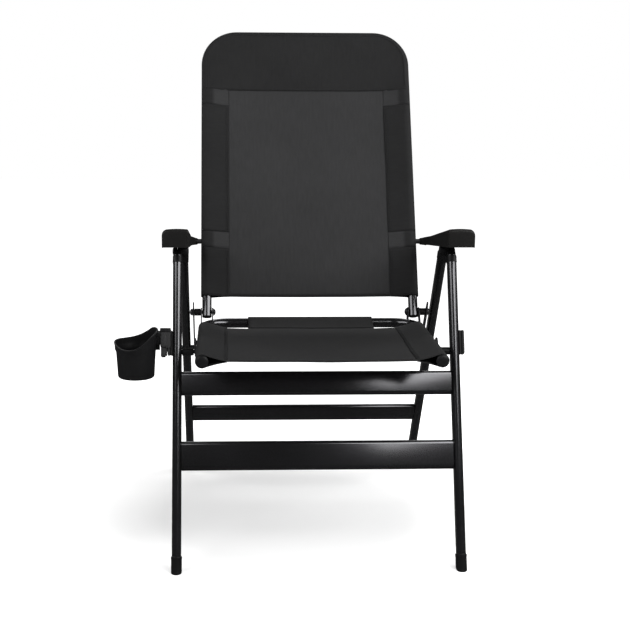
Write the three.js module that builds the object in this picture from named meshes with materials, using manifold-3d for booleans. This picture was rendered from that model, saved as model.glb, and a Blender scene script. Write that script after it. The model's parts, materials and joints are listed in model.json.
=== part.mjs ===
// Folding reclining beach chair with arm rests and a clip-on cup holder.
//
// Millimetres, +Z up, +Y towards the back of the chair, +X to the right of someone facing it.
// While it is built, X = 0 is the plane of symmetry and Y = 0 is the axis on which the front and
// the rear legs are pinned together. At the end the whole chair is moved so that the origin is on
// the floor under the middle of its bounding box.
//
// Chains of pieces that move together:
//   front frame  front legs, two front crossbars, heads, feet, accessory brackets
//   rear frame   rear legs, rear crossbar, heads, feet, apex pins
//   seat         bent seat tube, pivot brackets, hinge plates, seat sling
//   back         bent back tube, tube plugs, back sling
//   links        flat lock links between the rear legs and the back hinge
//   arm rests    hollow mouldings with a toothed rack that sits on the leg heads
//   cup holder   cup and the clip that slides down over an accessory bracket

import * as THREE from "three";
import { mergeVertices } from "three/addons/utils/BufferGeometryUtils.js";
import Module from "manifold-3d";

const wasm = await Module();
wasm.setup();

// ---------------------------------------------------------------- driving dimensions

const GAP = 0.3;

// Pivot axes in the side view, as [Y, Z].
const APEX = [0, 619.5];
const SEAT_PIVOT = [-88, 421];
const BACK_HINGE = [105, 468];
const LINK_LENGTH = 115;

// Legs.
const FRONT_FOOT_Y = -248;
const REAR_FOOT_Y = 427;
const FRONT_LEG_X = 290;
const REAR_LEG_X = 279;
const LEG_WIDTH = 19;
const LEG_DEPTH = 28;
const LEG_WALL = 1.5;
const FRONT_AXIS_OFFSET = 18.5;
const REAR_AXIS_OFFSET = 15;
const FRONT_TUBE_TOP_BELOW_APEX = 14;
const REAR_TUBE_TOP_BELOW_APEX = 24;
const FOOT_SOLE = 2.5;
const FOOT_HEIGHT = 32;
const FOOT_SKIN = 2.4;

// Crossbars: height of the centre line above the floor and the width of the flat oval.
const LOWER_BAR = { z: 219.5, width: 60, thickness: 17 };
const UPPER_BAR = { z: 359.5, width: 50, thickness: 17 };
const REAR_BAR = { z: 180, width: 50, thickness: 15 };
const BAR_WALL = 1.6;

// Leg heads and the pins through them.
const HEAD_DISC_RADIUS = 13;
const FRONT_HEAD_LANE = [279, 301];
const FRONT_LUG_START = 290.8;
const REAR_HEAD_LANE = [268, 290.3];
const APEX_PIN_RADIUS = 4;
const APEX_PIN_SPAN = [266.9, 303.5];
const APEX_PIN_HEAD = { radius: 7, outer: 2.1, inner: 0.8 };

// Seat.
const SEAT_RAIL_X = 235.7;
const SEAT_RAIL_Z = 440;
const SEAT_TUBE_RADIUS = 11;
const SEAT_FRONT_Y = -262;
const SEAT_BOW_Y = 120;
const SEAT_BEND_RADIUS = 55;
const TUBE_WALL = 1.5;

// Back.
const BACK_RAIL_X = 231;
const BACK_TUBE_RADIUS = 10.5;
const BACK_LEAN = THREE.MathUtils.degToRad(26);
const BACK_HEIGHT = 673;
const BACK_BEND_RADIUS = 70;
const BACK_TAIL = 10;
const ARM_PIVOT_UP = 166;

// Slings: cloth thickness as modelled, and the reach of the sewn tunnels beside the tubes.
const CLOTH = 2.2;
const SLEEVE_RADIUS_EXTRA = 2.3;
const SLEEVE_REACH = 48;
const SEAT_SLEEVE_END_Y = 66;
const BOW_SLEEVE_HALF = 139;
const BACK_SLING_START = 36;
const ARM_CUTOUT = [150, 187];
const SIDE_SLEEVE_TOP = 500;
const POCKET_START = 538;

// Hinge plates, bolts and links, as ranges along X.
const INNER_PLATE_LANE = [217.3, 219.8];
const OUTER_PLATE_LANE = [242.2, 244.7];
const LINK_LANE = [259, 262];
const BRACKET_LANE = [250.6, 254.1];
const BOLT_RADIUS = 4;
const HINGE_RADIUS = 10;
const SPACER_RADIUS = 8;
const SEAT_BOLT_HEAD = { radius: 6.2, start: 247.2 };
const HINGE_BOLT = { start: 211.5, washer: 214.2, domeRadius: 6, washerRadius: 8 };
const LINK_HALF_WIDTH = 9;
const LINK_TAB = { beyond: 26, halfWidth: 4 };
const RIVET = { end: 268.9, radius: 7.5 };
const LINK_PIN = { radius: 3, collar: 5.5, head: 5, start: 256.6, end: 291.5 };
const PIN_HOLE_RADIUS = 3.3;

// Arm rests.
const ARM_LANE = [263.5, 317.5];
const ARM_WALL = 3;
const ARM_REAR = [205, 620.5];
const ARM_FRONT_TOP = [-133, 683.7];
const ARM_BOTTOM_REAR = [205, 606.5];
const ARM_BOTTOM_FRONT = [-127, 645];
const ARM_SHOULDER = { outer: 14, inner: 6 };
const RACK_LANE = [271, 298];
const RACK_SPAN = [160, 264];
const RACK_SLOPE = THREE.MathUtils.degToRad(9.19);
const RACK_TOP = 7.2;
const RACK_UNDERSIDE = -7.5;
const RACK_TOOTH = 12;
const RACK_NOTCH = 5;
const ARM_BOLT = { start: 216.5, end: 300, head: 7, spacer: 6.5 };

// Accessory brackets and cup holder.
const BRACKET_Z = [414.7, 462.7];
const BRACKET_THICKNESS = 10.7;
const BRACKET_DEPTH = 24;
const CUP_X = 376;
const CUP_FLOOR_Z = 367;
const CUP_HEIGHT = 104;
const CUP_TOP_RADIUS = 43;
const CUP_FOOT_RADIUS = 36;
const CUP_WALL = 2.6;
const CUP_RIM_TILT = THREE.MathUtils.degToRad(8);
const NECK = { start: 38, lower: [437, 457], upper: [455, 464], halfWidth: 9, upperHalfWidth: 12 };
const CLIP_DEPTH = 14;

// ---------------------------------------------------------------- finishes

function finish(color, roughness, metalness) {
  return new THREE.MeshStandardMaterial({ color, roughness, metalness });
}

const ANODISED = finish(0x26262a, 0.35, 0.85);
const STEEL = finish(0x2a2a2c, 0.45, 0.8);
const MOULDED = finish(0x1f1f20, 0.6, 0);
const GREY_MOULDED = finish(0x3a3a3c, 0.65, 0);
const SEAT_CLOTH = finish(0x2b2b2c, 0.9, 0);
const BACK_CLOTH = finish(0x2f2f30, 0.9, 0);

// ---------------------------------------------------------------- geometry helpers

// Joins and cuts are made on closed triangle meshes.
function toSolid(geometry) {
  const bare = geometry.clone();
  bare.deleteAttribute("normal");
  bare.deleteAttribute("uv");
  const merged = mergeVertices(bare, 1e-4);
  return new wasm.Manifold(new wasm.Mesh({
    numProp: 3,
    vertProperties: new Float32Array(merged.attributes.position.array),
    triVerts: new Uint32Array(merged.index.array),
  }));
}

function toGeometry(solid) {
  const mesh = solid.getMesh();
  const geometry = new THREE.BufferGeometry();
  geometry.setAttribute("position", new THREE.BufferAttribute(mesh.vertProperties, 3));
  geometry.setIndex(new THREE.BufferAttribute(mesh.triVerts, 1));
  geometry.computeVertexNormals();
  return geometry;
}

function joined(first, ...others) {
  return toGeometry(others.reduce((sum, one) => sum.add(toSolid(one)), toSolid(first)));
}

function cut(body, ...tools) {
  return toGeometry(tools.reduce((rest, one) => rest.subtract(toSolid(one)), toSolid(body)));
}

function overlapOf(first, second) {
  return toGeometry(toSolid(first).intersect(toSolid(second)));
}

// The same piece on the other side of X = 0.
function mirrored(geometry) {
  const copy = mergeVertices(geometry.clone().deleteAttribute("normal").deleteAttribute("uv"), 1e-4);
  copy.applyMatrix4(new THREE.Matrix4().makeScale(-1, 1, 1));
  const index = copy.index.array;
  for (let i = 0; i < index.length; i += 3) {
    const keep = index[i];
    index[i] = index[i + 1];
    index[i + 1] = keep;
  }
  copy.computeVertexNormals();
  return copy;
}

function circleShape(x, y, radius) {
  const shape = new THREE.Shape();
  shape.absarc(x, y, radius, 0, Math.PI * 2, false);
  return shape;
}

function polygonShape(points) {
  return new THREE.Shape(points.map(([x, y]) => new THREE.Vector2(x, y)));
}

// Flat oval with round ends: "width" across, "length" along the second axis.
function stadiumShape(width, length) {
  const radius = Math.min(width, length) / 2;
  const reach = Math.abs(length - width) / 2;
  const shape = new THREE.Shape();
  if (length >= width) {
    shape.absarc(0, reach, radius, 0, Math.PI, false);
    shape.absarc(0, -reach, radius, Math.PI, Math.PI * 2, false);
  } else {
    shape.absarc(reach, 0, radius, -Math.PI / 2, Math.PI / 2, false);
    shape.absarc(-reach, 0, radius, Math.PI / 2, Math.PI * 1.5, false);
  }
  shape.closePath();
  return shape;
}

function extruded(shape, depth, curveSegments = 4) {
  return new THREE.ExtrudeGeometry(shape, { depth, bevelEnabled: false, curveSegments });
}

// An outline drawn in the side view, as [Y, Z], given thickness from X = from to X = to.
function sidePiece(shape, from, to, curveSegments = 4) {
  const turn = new THREE.Matrix4().makeBasis(
    new THREE.Vector3(0, 1, 0), new THREE.Vector3(0, 0, 1), new THREE.Vector3(1, 0, 0));
  return extruded(shape, to - from, curveSegments).applyMatrix4(turn).translate(from, 0, 0);
}

function rod(axis, radius, from, to, curveSegments = 5) {
  return sidePiece(circleShape(axis[0], axis[1], radius), from, to, curveSegments);
}

function block(xRange, yRange, zRange) {
  const size = [xRange, yRange, zRange].map(([low, high]) => high - low);
  const middle = [xRange, yRange, zRange].map(([low, high]) => (low + high) / 2);
  return new THREE.BoxGeometry(...size).translate(...middle);
}

// A path through given points, sampled exactly at them.
class RoutedPath extends THREE.Curve {
  constructor(points) {
    super();
    this.points = points;
  }

  getPoint(t, target = new THREE.Vector3()) {
    const last = this.points.length - 1;
    const place = Math.min(Math.max(t, 0), 1) * last;
    const start = Math.min(Math.floor(place), last - 1);
    return target.lerpVectors(this.points[start], this.points[start + 1], place - start);
  }

  getUtoTmapping(u) {
    return u;
  }
}

function swept(shape, points, curveSegments = 6) {
  return new THREE.ExtrudeGeometry(shape, {
    steps: points.length - 1,
    extrudePath: new RoutedPath(points),
    curveSegments,
  });
}

// Centre line of a tube bent into a U: up one side, round two corners and down the other.
// side is half the width, low and high are the ends of the straight legs and the bow.
function uBend(side, low, high, radius, place, cornerSteps = 5) {
  const half = [place(side, low), place(side, high - radius)];
  for (let i = 1; i <= cornerSteps; i += 1) {
    const angle = (i / cornerSteps) * Math.PI / 2;
    const across = side - radius + radius * Math.cos(angle);
    half.push(place(across, high - radius + radius * Math.sin(angle)));
  }
  const otherHalf = half.map((point) => new THREE.Vector3(-point.x, point.y, point.z)).reverse();
  return [...half, ...otherHalf];
}

function tubeSection(radius, wall) {
  const shape = circleShape(0, 0, radius);
  shape.holes.push(circleShape(0, 0, radius - wall));
  return shape;
}

// ---------------------------------------------------------------- leg frames

// A leg stands on its floor point; w runs up its axis, d runs backwards across it.
function makeLeg(footY, apexOffset, x, topGap) {
  const reach = Math.hypot(APEX[0] - footY, APEX[1]);
  const towardsApex = Math.atan2(APEX[0] - footY, APEX[1]);
  const lean = towardsApex - Math.asin(apexOffset / reach);
  const matrix = new THREE.Matrix4().makeBasis(
    new THREE.Vector3(1, 0, 0),
    new THREE.Vector3(0, Math.cos(lean), -Math.sin(lean)),
    new THREE.Vector3(0, Math.sin(lean), Math.cos(lean)),
  ).setPosition(x, footY, 0);
  const apexUp = Math.sqrt(reach * reach - apexOffset * apexOffset);
  const bottom = (FOOT_SOLE + LEG_DEPTH / 2 * Math.sin(Math.abs(lean))) / Math.cos(lean) + GAP;
  return { footY, lean, matrix, x, apexUp, bottom, top: apexUp - topGap };
}

const FRONT_LEG = makeLeg(FRONT_FOOT_Y, FRONT_AXIS_OFFSET, FRONT_LEG_X, FRONT_TUBE_TOP_BELOW_APEX);
const REAR_LEG = makeLeg(REAR_FOOT_Y, -REAR_AXIS_OFFSET, REAR_LEG_X, REAR_TUBE_TOP_BELOW_APEX);

// Side-view point of a leg, from d across it and w up it.
function onLeg(leg, d, w) {
  const y = leg.footY + d * Math.cos(leg.lean) + w * Math.sin(leg.lean);
  return [y, w * Math.cos(leg.lean) - d * Math.sin(leg.lean)];
}

function upLegAtHeight(leg, z) {
  return z / Math.cos(leg.lean);
}

function legBar(leg, grow, from, to) {
  const shape = stadiumShape(LEG_WIDTH + 2 * grow, LEG_DEPTH + 2 * grow);
  return extruded(shape, to - from).translate(0, 0, from).applyMatrix4(leg.matrix);
}

function legTube(leg, holes) {
  const shape = stadiumShape(LEG_WIDTH, LEG_DEPTH);
  shape.holes.push(stadiumShape(LEG_WIDTH - 2 * LEG_WALL, LEG_DEPTH - 2 * LEG_WALL));
  const tube = extruded(shape, leg.top - leg.bottom).translate(0, 0, leg.bottom);
  return cut(tube.applyMatrix4(leg.matrix), ...holes);
}

// Plastic cap on the lower end of a leg, cut flat by the floor.
function legFoot(leg) {
  const cap = legBar(leg, FOOT_SKIN, -30, FOOT_HEIGHT);
  const ring = legBar(leg, FOOT_SKIN + 1.2, FOOT_HEIGHT - 6, FOOT_HEIGHT - 2);
  const floor = block([200, 400], [leg.footY - 150, leg.footY + 150], [-80, 0]);
  return cut(joined(cap, ring), floor, legBar(leg, GAP, leg.bottom - GAP, FOOT_HEIGHT + 5));
}

// Outline of a leg head in the side view: the disc round the apex and a body round the tube end.
// corners are [d from the apex line, s below the apex].
function headBody(leg, offset, corners, lane) {
  const outline = corners.map(([d, s]) => onLeg(leg, d + offset, leg.apexUp - s));
  const disc = rod(APEX, HEAD_DISC_RADIUS, lane[0], lane[1]);
  return joined(disc, sidePiece(polygonShape(outline), lane[0], lane[1]));
}

function frontHead() {
  const corners = [[-33.7, 28], [-33.7, 12], [-10, -5], [-2, 0], [-3, 28]];
  const body = headBody(FRONT_LEG, FRONT_AXIS_OFFSET, corners, FRONT_HEAD_LANE);
  return cut(
    body,
    legBar(FRONT_LEG, GAP, FRONT_LEG.apexUp - 60, FRONT_LEG.top + GAP),
    rod(APEX, HEAD_DISC_RADIUS + 0.8, FRONT_HEAD_LANE[0] - 5, FRONT_LUG_START),
    rod(APEX, APEX_PIN_RADIUS + GAP, 260, 320),
  );
}

function rearHead() {
  const corners = [[-0.2, 34], [-0.2, 0], [13, 6], [24, 22], [30, 27], [30, 34]];
  const body = headBody(REAR_LEG, -REAR_AXIS_OFFSET, corners, REAR_HEAD_LANE);
  return cut(
    body,
    legBar(REAR_LEG, GAP, REAR_LEG.apexUp - 60, REAR_LEG.top + GAP),
    rod(APEX, APEX_PIN_RADIUS + GAP, 260, 320),
  );
}

function apexPin() {
  const [from, to] = APEX_PIN_SPAN;
  return joined(
    rod(APEX, APEX_PIN_RADIUS, from, to),
    rod(APEX, APEX_PIN_HEAD.radius, to - APEX_PIN_HEAD.outer, to),
    rod(APEX, APEX_PIN_HEAD.radius, from, from + APEX_PIN_HEAD.inner),
  );
}

// Hollow flat oval bar between two legs.
function crossbar(leg, bar, halfSpan) {
  const shape = stadiumShape(bar.thickness, bar.width);
  shape.holes.push(stadiumShape(bar.thickness - 2 * BAR_WALL, bar.width - 2 * BAR_WALL));
  const solid = extruded(shape, 2 * halfSpan);
  const place = new THREE.Matrix4().makeBasis(
    new THREE.Vector3(0, Math.cos(leg.lean), -Math.sin(leg.lean)),
    new THREE.Vector3(0, Math.sin(leg.lean), Math.cos(leg.lean)),
    new THREE.Vector3(1, 0, 0),
  );
  const [y, z] = onLeg(leg, 0, upLegAtHeight(leg, bar.z));
  place.setPosition(-halfSpan, y, z);
  return solid.applyMatrix4(place);
}

// ---------------------------------------------------------------- mechanism points

function towards(from, to, distance) {
  const length = Math.hypot(to[0] - from[0], to[1] - from[1]);
  return [0, 1].map((i) => from[i] + (to[i] - from[i]) * distance / length);
}

// The lock link lies in one line with the apex and the back hinge when the chair stands open.
const APEX_TO_HINGE = Math.hypot(BACK_HINGE[0] - APEX[0], BACK_HINGE[1] - APEX[1]);
const LINK_PIVOT = towards(APEX, BACK_HINGE, APEX_TO_HINGE + LINK_LENGTH);

// Side-view point of the back: up along the tubes, out at right angles towards the sitter.
function onBack(up, out = 0) {
  return [
    BACK_HINGE[0] + up * Math.sin(BACK_LEAN) - out * Math.cos(BACK_LEAN),
    BACK_HINGE[1] + up * Math.cos(BACK_LEAN) + out * Math.sin(BACK_LEAN),
  ];
}

const ARM_PIVOT = onBack(ARM_PIVOT_UP);

// ---------------------------------------------------------------- seat

function seatPoint(x, y) {
  return new THREE.Vector3(x, y, SEAT_RAIL_Z);
}

const SEAT_PATH = uBend(SEAT_RAIL_X, SEAT_FRONT_Y, SEAT_BOW_Y, SEAT_BEND_RADIUS, seatPoint);

function seatFrame() {
  return swept(tubeSection(SEAT_TUBE_RADIUS, TUBE_WALL), SEAT_PATH);
}

function seatTubeSolid(grow) {
  return swept(circleShape(0, 0, SEAT_TUBE_RADIUS + grow), SEAT_PATH);
}

// Domed plug in the open end of a tube; its dome points along +Y and its rim has its own radius.
function tubePlug(radius, rim, dome, depth) {
  const stem = radius - TUBE_WALL - 3 * GAP;
  const profile = [
    [0, -depth], [stem, -depth], [stem, GAP], [rim, GAP], [rim, GAP + dome * 0.4],
    [rim * 0.82, GAP + dome * 0.8], [rim * 0.4, GAP + dome], [0, GAP + dome],
  ];
  return new THREE.LatheGeometry(profile.map(([r, h]) => new THREE.Vector2(r, h)), 14);
}

function seatEndCap() {
  return tubePlug(SEAT_TUBE_RADIUS, SEAT_TUBE_RADIUS + 2, 7, 14)
    .rotateX(Math.PI)
    .translate(SEAT_RAIL_X, SEAT_FRONT_Y, SEAT_RAIL_Z);
}

// Bracket that hangs the seat rail on its pivot bolt.
function seatPivotBracket() {
  const [y, z] = SEAT_PIVOT;
  const half = HINGE_RADIUS;
  const web = [[y - half, z], [y + half, z], [y + half, SEAT_RAIL_Z], [y - half, SEAT_RAIL_Z]];
  const plate = joined(
    rod([y, z], half, ...BRACKET_LANE),
    rod([y, SEAT_RAIL_Z], half, ...BRACKET_LANE),
    sidePiece(polygonShape(web), ...BRACKET_LANE),
  );
  const stud = rod([y, SEAT_RAIL_Z], half / 2, SEAT_RAIL_X, BRACKET_LANE[1] + 1.5);
  return cut(joined(plate, stud), seatTubeSolid(GAP), rod([y, z], BOLT_RADIUS + GAP, 240, 260));
}

function seatPivotBolt() {
  return joined(
    rod(SEAT_PIVOT, BOLT_RADIUS, SEAT_BOLT_HEAD.start, FRONT_LEG_X + LEG_WIDTH / 2 - GAP),
    rod(SEAT_PIVOT, SEAT_BOLT_HEAD.radius, SEAT_BOLT_HEAD.start, BRACKET_LANE[0] - GAP, 3),
  );
}

function seatPivotSpacer() {
  const from = BRACKET_LANE[1] + 1.9;
  const ring = rod(SEAT_PIVOT, SPACER_RADIUS, from, FRONT_LEG_X - LEG_WIDTH / 2 - GAP);
  return cut(ring, rod(SEAT_PIVOT, BOLT_RADIUS + GAP, 240, 300));
}

// Ear welded on the seat tube that carries the back hinge; base is its foot along Y.
function hingePlate(lane, base) {
  const [y, z] = BACK_HINGE;
  const foot = sidePiece(polygonShape([
    [base[0], SEAT_RAIL_Z], [base[1], SEAT_RAIL_Z], [y + 9, z - 4], [y + 4, z + 9], [y - 9, z + 4],
  ]), ...lane);
  const ear = joined(rod([y, z], HINGE_RADIUS, ...lane), foot);
  return cut(ear, seatTubeSolid(GAP), rod([y, z], BOLT_RADIUS + GAP, 200, 260));
}

// Outline of a sling across its rails: flat cloth in the middle, a tunnel round each tube. The
// tubes themselves are cut out of it afterwards.
function slingSection(railX, tubeRadius, curve = 6) {
  const outer = tubeRadius + SLEEVE_RADIUS_EXTRA;
  const half = CLOTH / 2;
  const meet = railX - SLEEVE_REACH;
  const touch = Math.acos(outer / SLEEVE_REACH);
  const right = [[meet, half]];
  for (let i = 0; i <= curve * 2; i += 1) {
    const angle = Math.PI - touch - (i / (curve * 2)) * 2 * (Math.PI - touch);
    right.push([railX + outer * Math.cos(angle), outer * Math.sin(angle)]);
  }
  right.push([meet, -half]);
  const left = right.map(([x, y]) => [-x, y]).reverse();
  return polygonShape([...right, ...left].reverse());
}

function seatSling() {
  const from = SEAT_FRONT_Y + 2;
  const turn = new THREE.Matrix4().makeBasis(
    new THREE.Vector3(1, 0, 0), new THREE.Vector3(0, 0, 1), new THREE.Vector3(0, -1, 0));
  const sides = extruded(slingSection(SEAT_RAIL_X, SEAT_TUBE_RADIUS), SEAT_SLEEVE_END_Y - from, 5)
    .applyMatrix4(turn)
    .translate(0, SEAT_SLEEVE_END_Y, SEAT_RAIL_Z);
  const half = CLOTH / 2 - 0.1;
  const bow = [SEAT_BOW_Y, SEAT_RAIL_Z];
  const tongue = block([-BOW_SLEEVE_HALF, BOW_SLEEVE_HALF], [SEAT_SLEEVE_END_Y - 5, SEAT_BOW_Y],
    [SEAT_RAIL_Z - half, SEAT_RAIL_Z + half]);
  const tunnel = rod(bow, SEAT_TUBE_RADIUS + SLEEVE_RADIUS_EXTRA, -BOW_SLEEVE_HALF, BOW_SLEEVE_HALF, 8);
  const bracketSlot = (side) => block(
    [side * SEAT_RAIL_X - 20, side * SEAT_RAIL_X + 20],
    [SEAT_PIVOT[0] - 6, SEAT_PIVOT[0] + 6], [SEAT_RAIL_Z - 6, SEAT_RAIL_Z + 6]);
  return cut(joined(sides, tongue, tunnel), seatTubeSolid(GAP), bracketSlot(1), bracketSlot(-1));
}

// ---------------------------------------------------------------- back

function backPoint(x, up) {
  const [y, z] = onBack(up);
  return new THREE.Vector3(x, y, z);
}

const BACK_PATH = uBend(BACK_RAIL_X, -BACK_TAIL, BACK_HEIGHT, BACK_BEND_RADIUS, backPoint);

function backFrame() {
  const tube = swept(tubeSection(BACK_TUBE_RADIUS, TUBE_WALL), BACK_PATH);
  return cut(
    tube,
    rod(BACK_HINGE, BOLT_RADIUS + GAP, -260, 260),
    rod(ARM_PIVOT, BOLT_RADIUS + GAP, -260, 260),
  );
}

function backTubePlug() {
  return tubePlug(BACK_TUBE_RADIUS, BACK_TUBE_RADIUS, 2, 4)
    .rotateX(-Math.PI / 2 - BACK_LEAN)
    .translate(BACK_RAIL_X, ...onBack(-BACK_TAIL));
}

// A slab of the back: across, up along the tubes and out from them.
function backSlab(acrossRange, upRange, outRange) {
  const slab = block(acrossRange, [-outRange[1], -outRange[0]], upRange);
  return slab.rotateX(-BACK_LEAN).translate(0, ...BACK_HINGE);
}

function backSling() {
  const sleeve = BACK_TUBE_RADIUS + SLEEVE_RADIUS_EXTRA;
  const tunnel = swept(circleShape(0, 0, sleeve), BACK_PATH);
  const inner = BACK_RAIL_X - BACK_TUBE_RADIUS - 4;
  const flat = backSlab([-BACK_RAIL_X, BACK_RAIL_X], [0, BACK_HEIGHT - BACK_BEND_RADIUS],
    [-CLOTH / 2, CLOTH / 2]);
  const top = backSlab([-BACK_RAIL_X + BACK_BEND_RADIUS, BACK_RAIL_X - BACK_BEND_RADIUS],
    [BACK_HEIGHT - BACK_BEND_RADIUS - 5, BACK_HEIGHT], [-CLOTH / 2, CLOTH / 2]);
  const cornerCloth = [1, -1].map((side) => {
    const middle = side * (BACK_RAIL_X - BACK_BEND_RADIUS);
    return extruded(circleShape(0, 0, BACK_BEND_RADIUS), CLOTH)
      .translate(0, 0, -CLOTH / 2)
      .rotateX(Math.PI / 2 - BACK_LEAN)
      .translate(middle, ...onBack(BACK_HEIGHT - BACK_BEND_RADIUS));
  });
  const openings = [];
  for (const side of [1, -1]) {
    const across = side > 0 ? [inner, 300] : [-300, -inner];
    openings.push(backSlab(across, ARM_CUTOUT, [-40, 40]));
    openings.push(backSlab(across, [SIDE_SLEEVE_TOP, POCKET_START], [-40, 40]));
  }
  const below = backSlab([-300, 300], [-80, BACK_SLING_START], [-60, 60]);
  const tube = swept(circleShape(0, 0, BACK_TUBE_RADIUS + GAP), BACK_PATH);
  return cut(joined(tunnel, flat, top, ...cornerCloth), tube, below, ...openings);
}

// ---------------------------------------------------------------- hinge bolts and links

function backHingeBolt() {
  return joined(
    rod(BACK_HINGE, BOLT_RADIUS, HINGE_BOLT.washer - 1.2, LINK_LANE[0] - 0.4),
    rod(BACK_HINGE, HINGE_BOLT.washerRadius, HINGE_BOLT.washer, INNER_PLATE_LANE[0] - GAP),
    rod(BACK_HINGE, HINGE_BOLT.domeRadius, HINGE_BOLT.start, HINGE_BOLT.washer),
  );
}

function backHingeSpacer() {
  const ring = rod(BACK_HINGE, SPACER_RADIUS, OUTER_PLATE_LANE[1] + GAP, LINK_LANE[0] - 0.4);
  return cut(ring, rod(BACK_HINGE, BOLT_RADIUS + GAP, 200, 300));
}

// Flat lock link with a thumb tab beyond the back hinge.
function lockLink() {
  const tab = towards(LINK_PIVOT, BACK_HINGE, LINK_LENGTH + LINK_TAB.beyond);
  const acrossY = (BACK_HINGE[1] - LINK_PIVOT[1]) / LINK_LENGTH;
  const acrossZ = (LINK_PIVOT[0] - BACK_HINGE[0]) / LINK_LENGTH;
  const beside = (point, reach) => [point[0] + acrossY * reach, point[1] + acrossZ * reach];
  const strip = polygonShape([
    beside(LINK_PIVOT, -LINK_HALF_WIDTH), beside(LINK_PIVOT, LINK_HALF_WIDTH),
    beside(BACK_HINGE, LINK_HALF_WIDTH), beside(tab, LINK_TAB.halfWidth),
    beside(tab, -LINK_TAB.halfWidth), beside(BACK_HINGE, -LINK_HALF_WIDTH),
  ]);
  const body = joined(
    sidePiece(strip, ...LINK_LANE),
    rod(LINK_PIVOT, LINK_HALF_WIDTH, ...LINK_LANE),
    rod(tab, LINK_TAB.halfWidth, ...LINK_LANE),
  );
  const pinHole = rod(LINK_PIVOT, PIN_HOLE_RADIUS, 250, 270);
  const boltHole = rod(BACK_HINGE, BOLT_RADIUS + GAP, 250, 270);
  return cut(body, pinHole, boltHole);
}

function linkRivet() {
  return joined(
    rod(BACK_HINGE, BOLT_RADIUS, LINK_LANE[0] - 0.1, RIVET.end),
    rod(BACK_HINGE, RIVET.radius, LINK_LANE[1] + GAP, RIVET.end),
  );
}

function linkPin() {
  return joined(
    rod(LINK_PIVOT, LINK_PIN.radius, LINK_PIN.start, LINK_PIN.end),
    rod(LINK_PIVOT, LINK_PIN.collar, LINK_PIN.start, LINK_LANE[0] - GAP),
    rod(LINK_PIVOT, LINK_PIN.collar, LINK_LANE[1] + 0.4, REAR_LEG_X - LEG_WIDTH / 2 - GAP),
    rod(LINK_PIVOT, LINK_PIN.head, REAR_LEG_X + LEG_WIDTH / 2 + GAP, LINK_PIN.end),
  );
}

// ---------------------------------------------------------------- arm rests

const ARM_SLOPE = Math.atan2(ARM_FRONT_TOP[1] - ARM_REAR[1], ARM_REAR[0] - ARM_FRONT_TOP[0]);

// Side-view point of the rack: u forward from the arm's pivot along its teeth, v up from them.
function onRack(u, v) {
  return [
    ARM_PIVOT[0] - u * Math.cos(RACK_SLOPE) + v * Math.sin(RACK_SLOPE),
    ARM_PIVOT[1] + u * Math.sin(RACK_SLOPE) + v * Math.cos(RACK_SLOPE),
  ];
}

function armSideOutline() {
  const shape = new THREE.Shape();
  const [noseY, noseZ] = ARM_BOTTOM_FRONT;
  const [topY, topZ] = ARM_FRONT_TOP;
  shape.moveTo(ARM_BOTTOM_REAR[0] - 8, ARM_BOTTOM_REAR[1] + 1);
  shape.lineTo(noseY + 10, noseZ - 1.2);
  shape.quadraticCurveTo(noseY - 2, noseZ, noseY - 4, noseZ + 10);
  shape.lineTo(topY - 1, topZ - 12);
  shape.quadraticCurveTo(topY - 1, topZ, topY + 12, topZ - 2);
  shape.lineTo(ARM_REAR[0] - 10, ARM_REAR[1] + 1.6);
  const endZ = (ARM_REAR[1] + ARM_BOTTOM_REAR[1]) / 2;
  shape.quadraticCurveTo(ARM_REAR[0] + 8, endZ, ARM_BOTTOM_REAR[0] - 8, ARM_BOTTOM_REAR[1] + 1);
  return shape;
}

// Cross-section seen from the front: wide round outer shoulder, smaller round inner one.
function armSection() {
  const [inside, outside] = ARM_LANE;
  const shape = new THREE.Shape();
  shape.moveTo(inside, -90);
  shape.lineTo(outside - 1.5, -90);
  shape.lineTo(outside, -ARM_SHOULDER.outer);
  shape.quadraticCurveTo(outside, 0, outside - ARM_SHOULDER.outer, 0);
  shape.lineTo(inside + ARM_SHOULDER.inner, 0);
  shape.quadraticCurveTo(inside, 0, inside, -ARM_SHOULDER.inner);
  return shape;
}

function armrest() {
  const solid = sidePiece(armSideOutline(), ARM_LANE[0] - 1, ARM_LANE[1] + 1, 5);
  const turn = new THREE.Matrix4().makeBasis(
    new THREE.Vector3(1, 0, 0),
    new THREE.Vector3(0, Math.sin(ARM_SLOPE), Math.cos(ARM_SLOPE)),
    new THREE.Vector3(0, -Math.cos(ARM_SLOPE), Math.sin(ARM_SLOPE)),
  ).setPosition(0, ARM_REAR[0] + 30, ARM_REAR[1] - 30 * Math.tan(ARM_SLOPE));
  const envelope = extruded(armSection(), 420, 6).applyMatrix4(turn);
  const [ceilingFrontY, ceilingFrontZ] = [ARM_FRONT_TOP[0] + 6, ARM_FRONT_TOP[1] - ARM_WALL - 3];
  const cavity = sidePiece(polygonShape([
    [155, 560], [-124, 560], [-124, 655], [ceilingFrontY, ceilingFrontZ - 6],
    [ceilingFrontY + 8, ceilingFrontZ - 1.4], [155, 626.2], [148, 614],
  ]), ARM_LANE[0] + ARM_WALL, ARM_LANE[1] - ARM_WALL);
  const bore = rod(ARM_PIVOT, BOLT_RADIUS + GAP, 255, 302);
  return cut(overlapOf(solid, envelope), cavity, bore);
}

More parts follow.
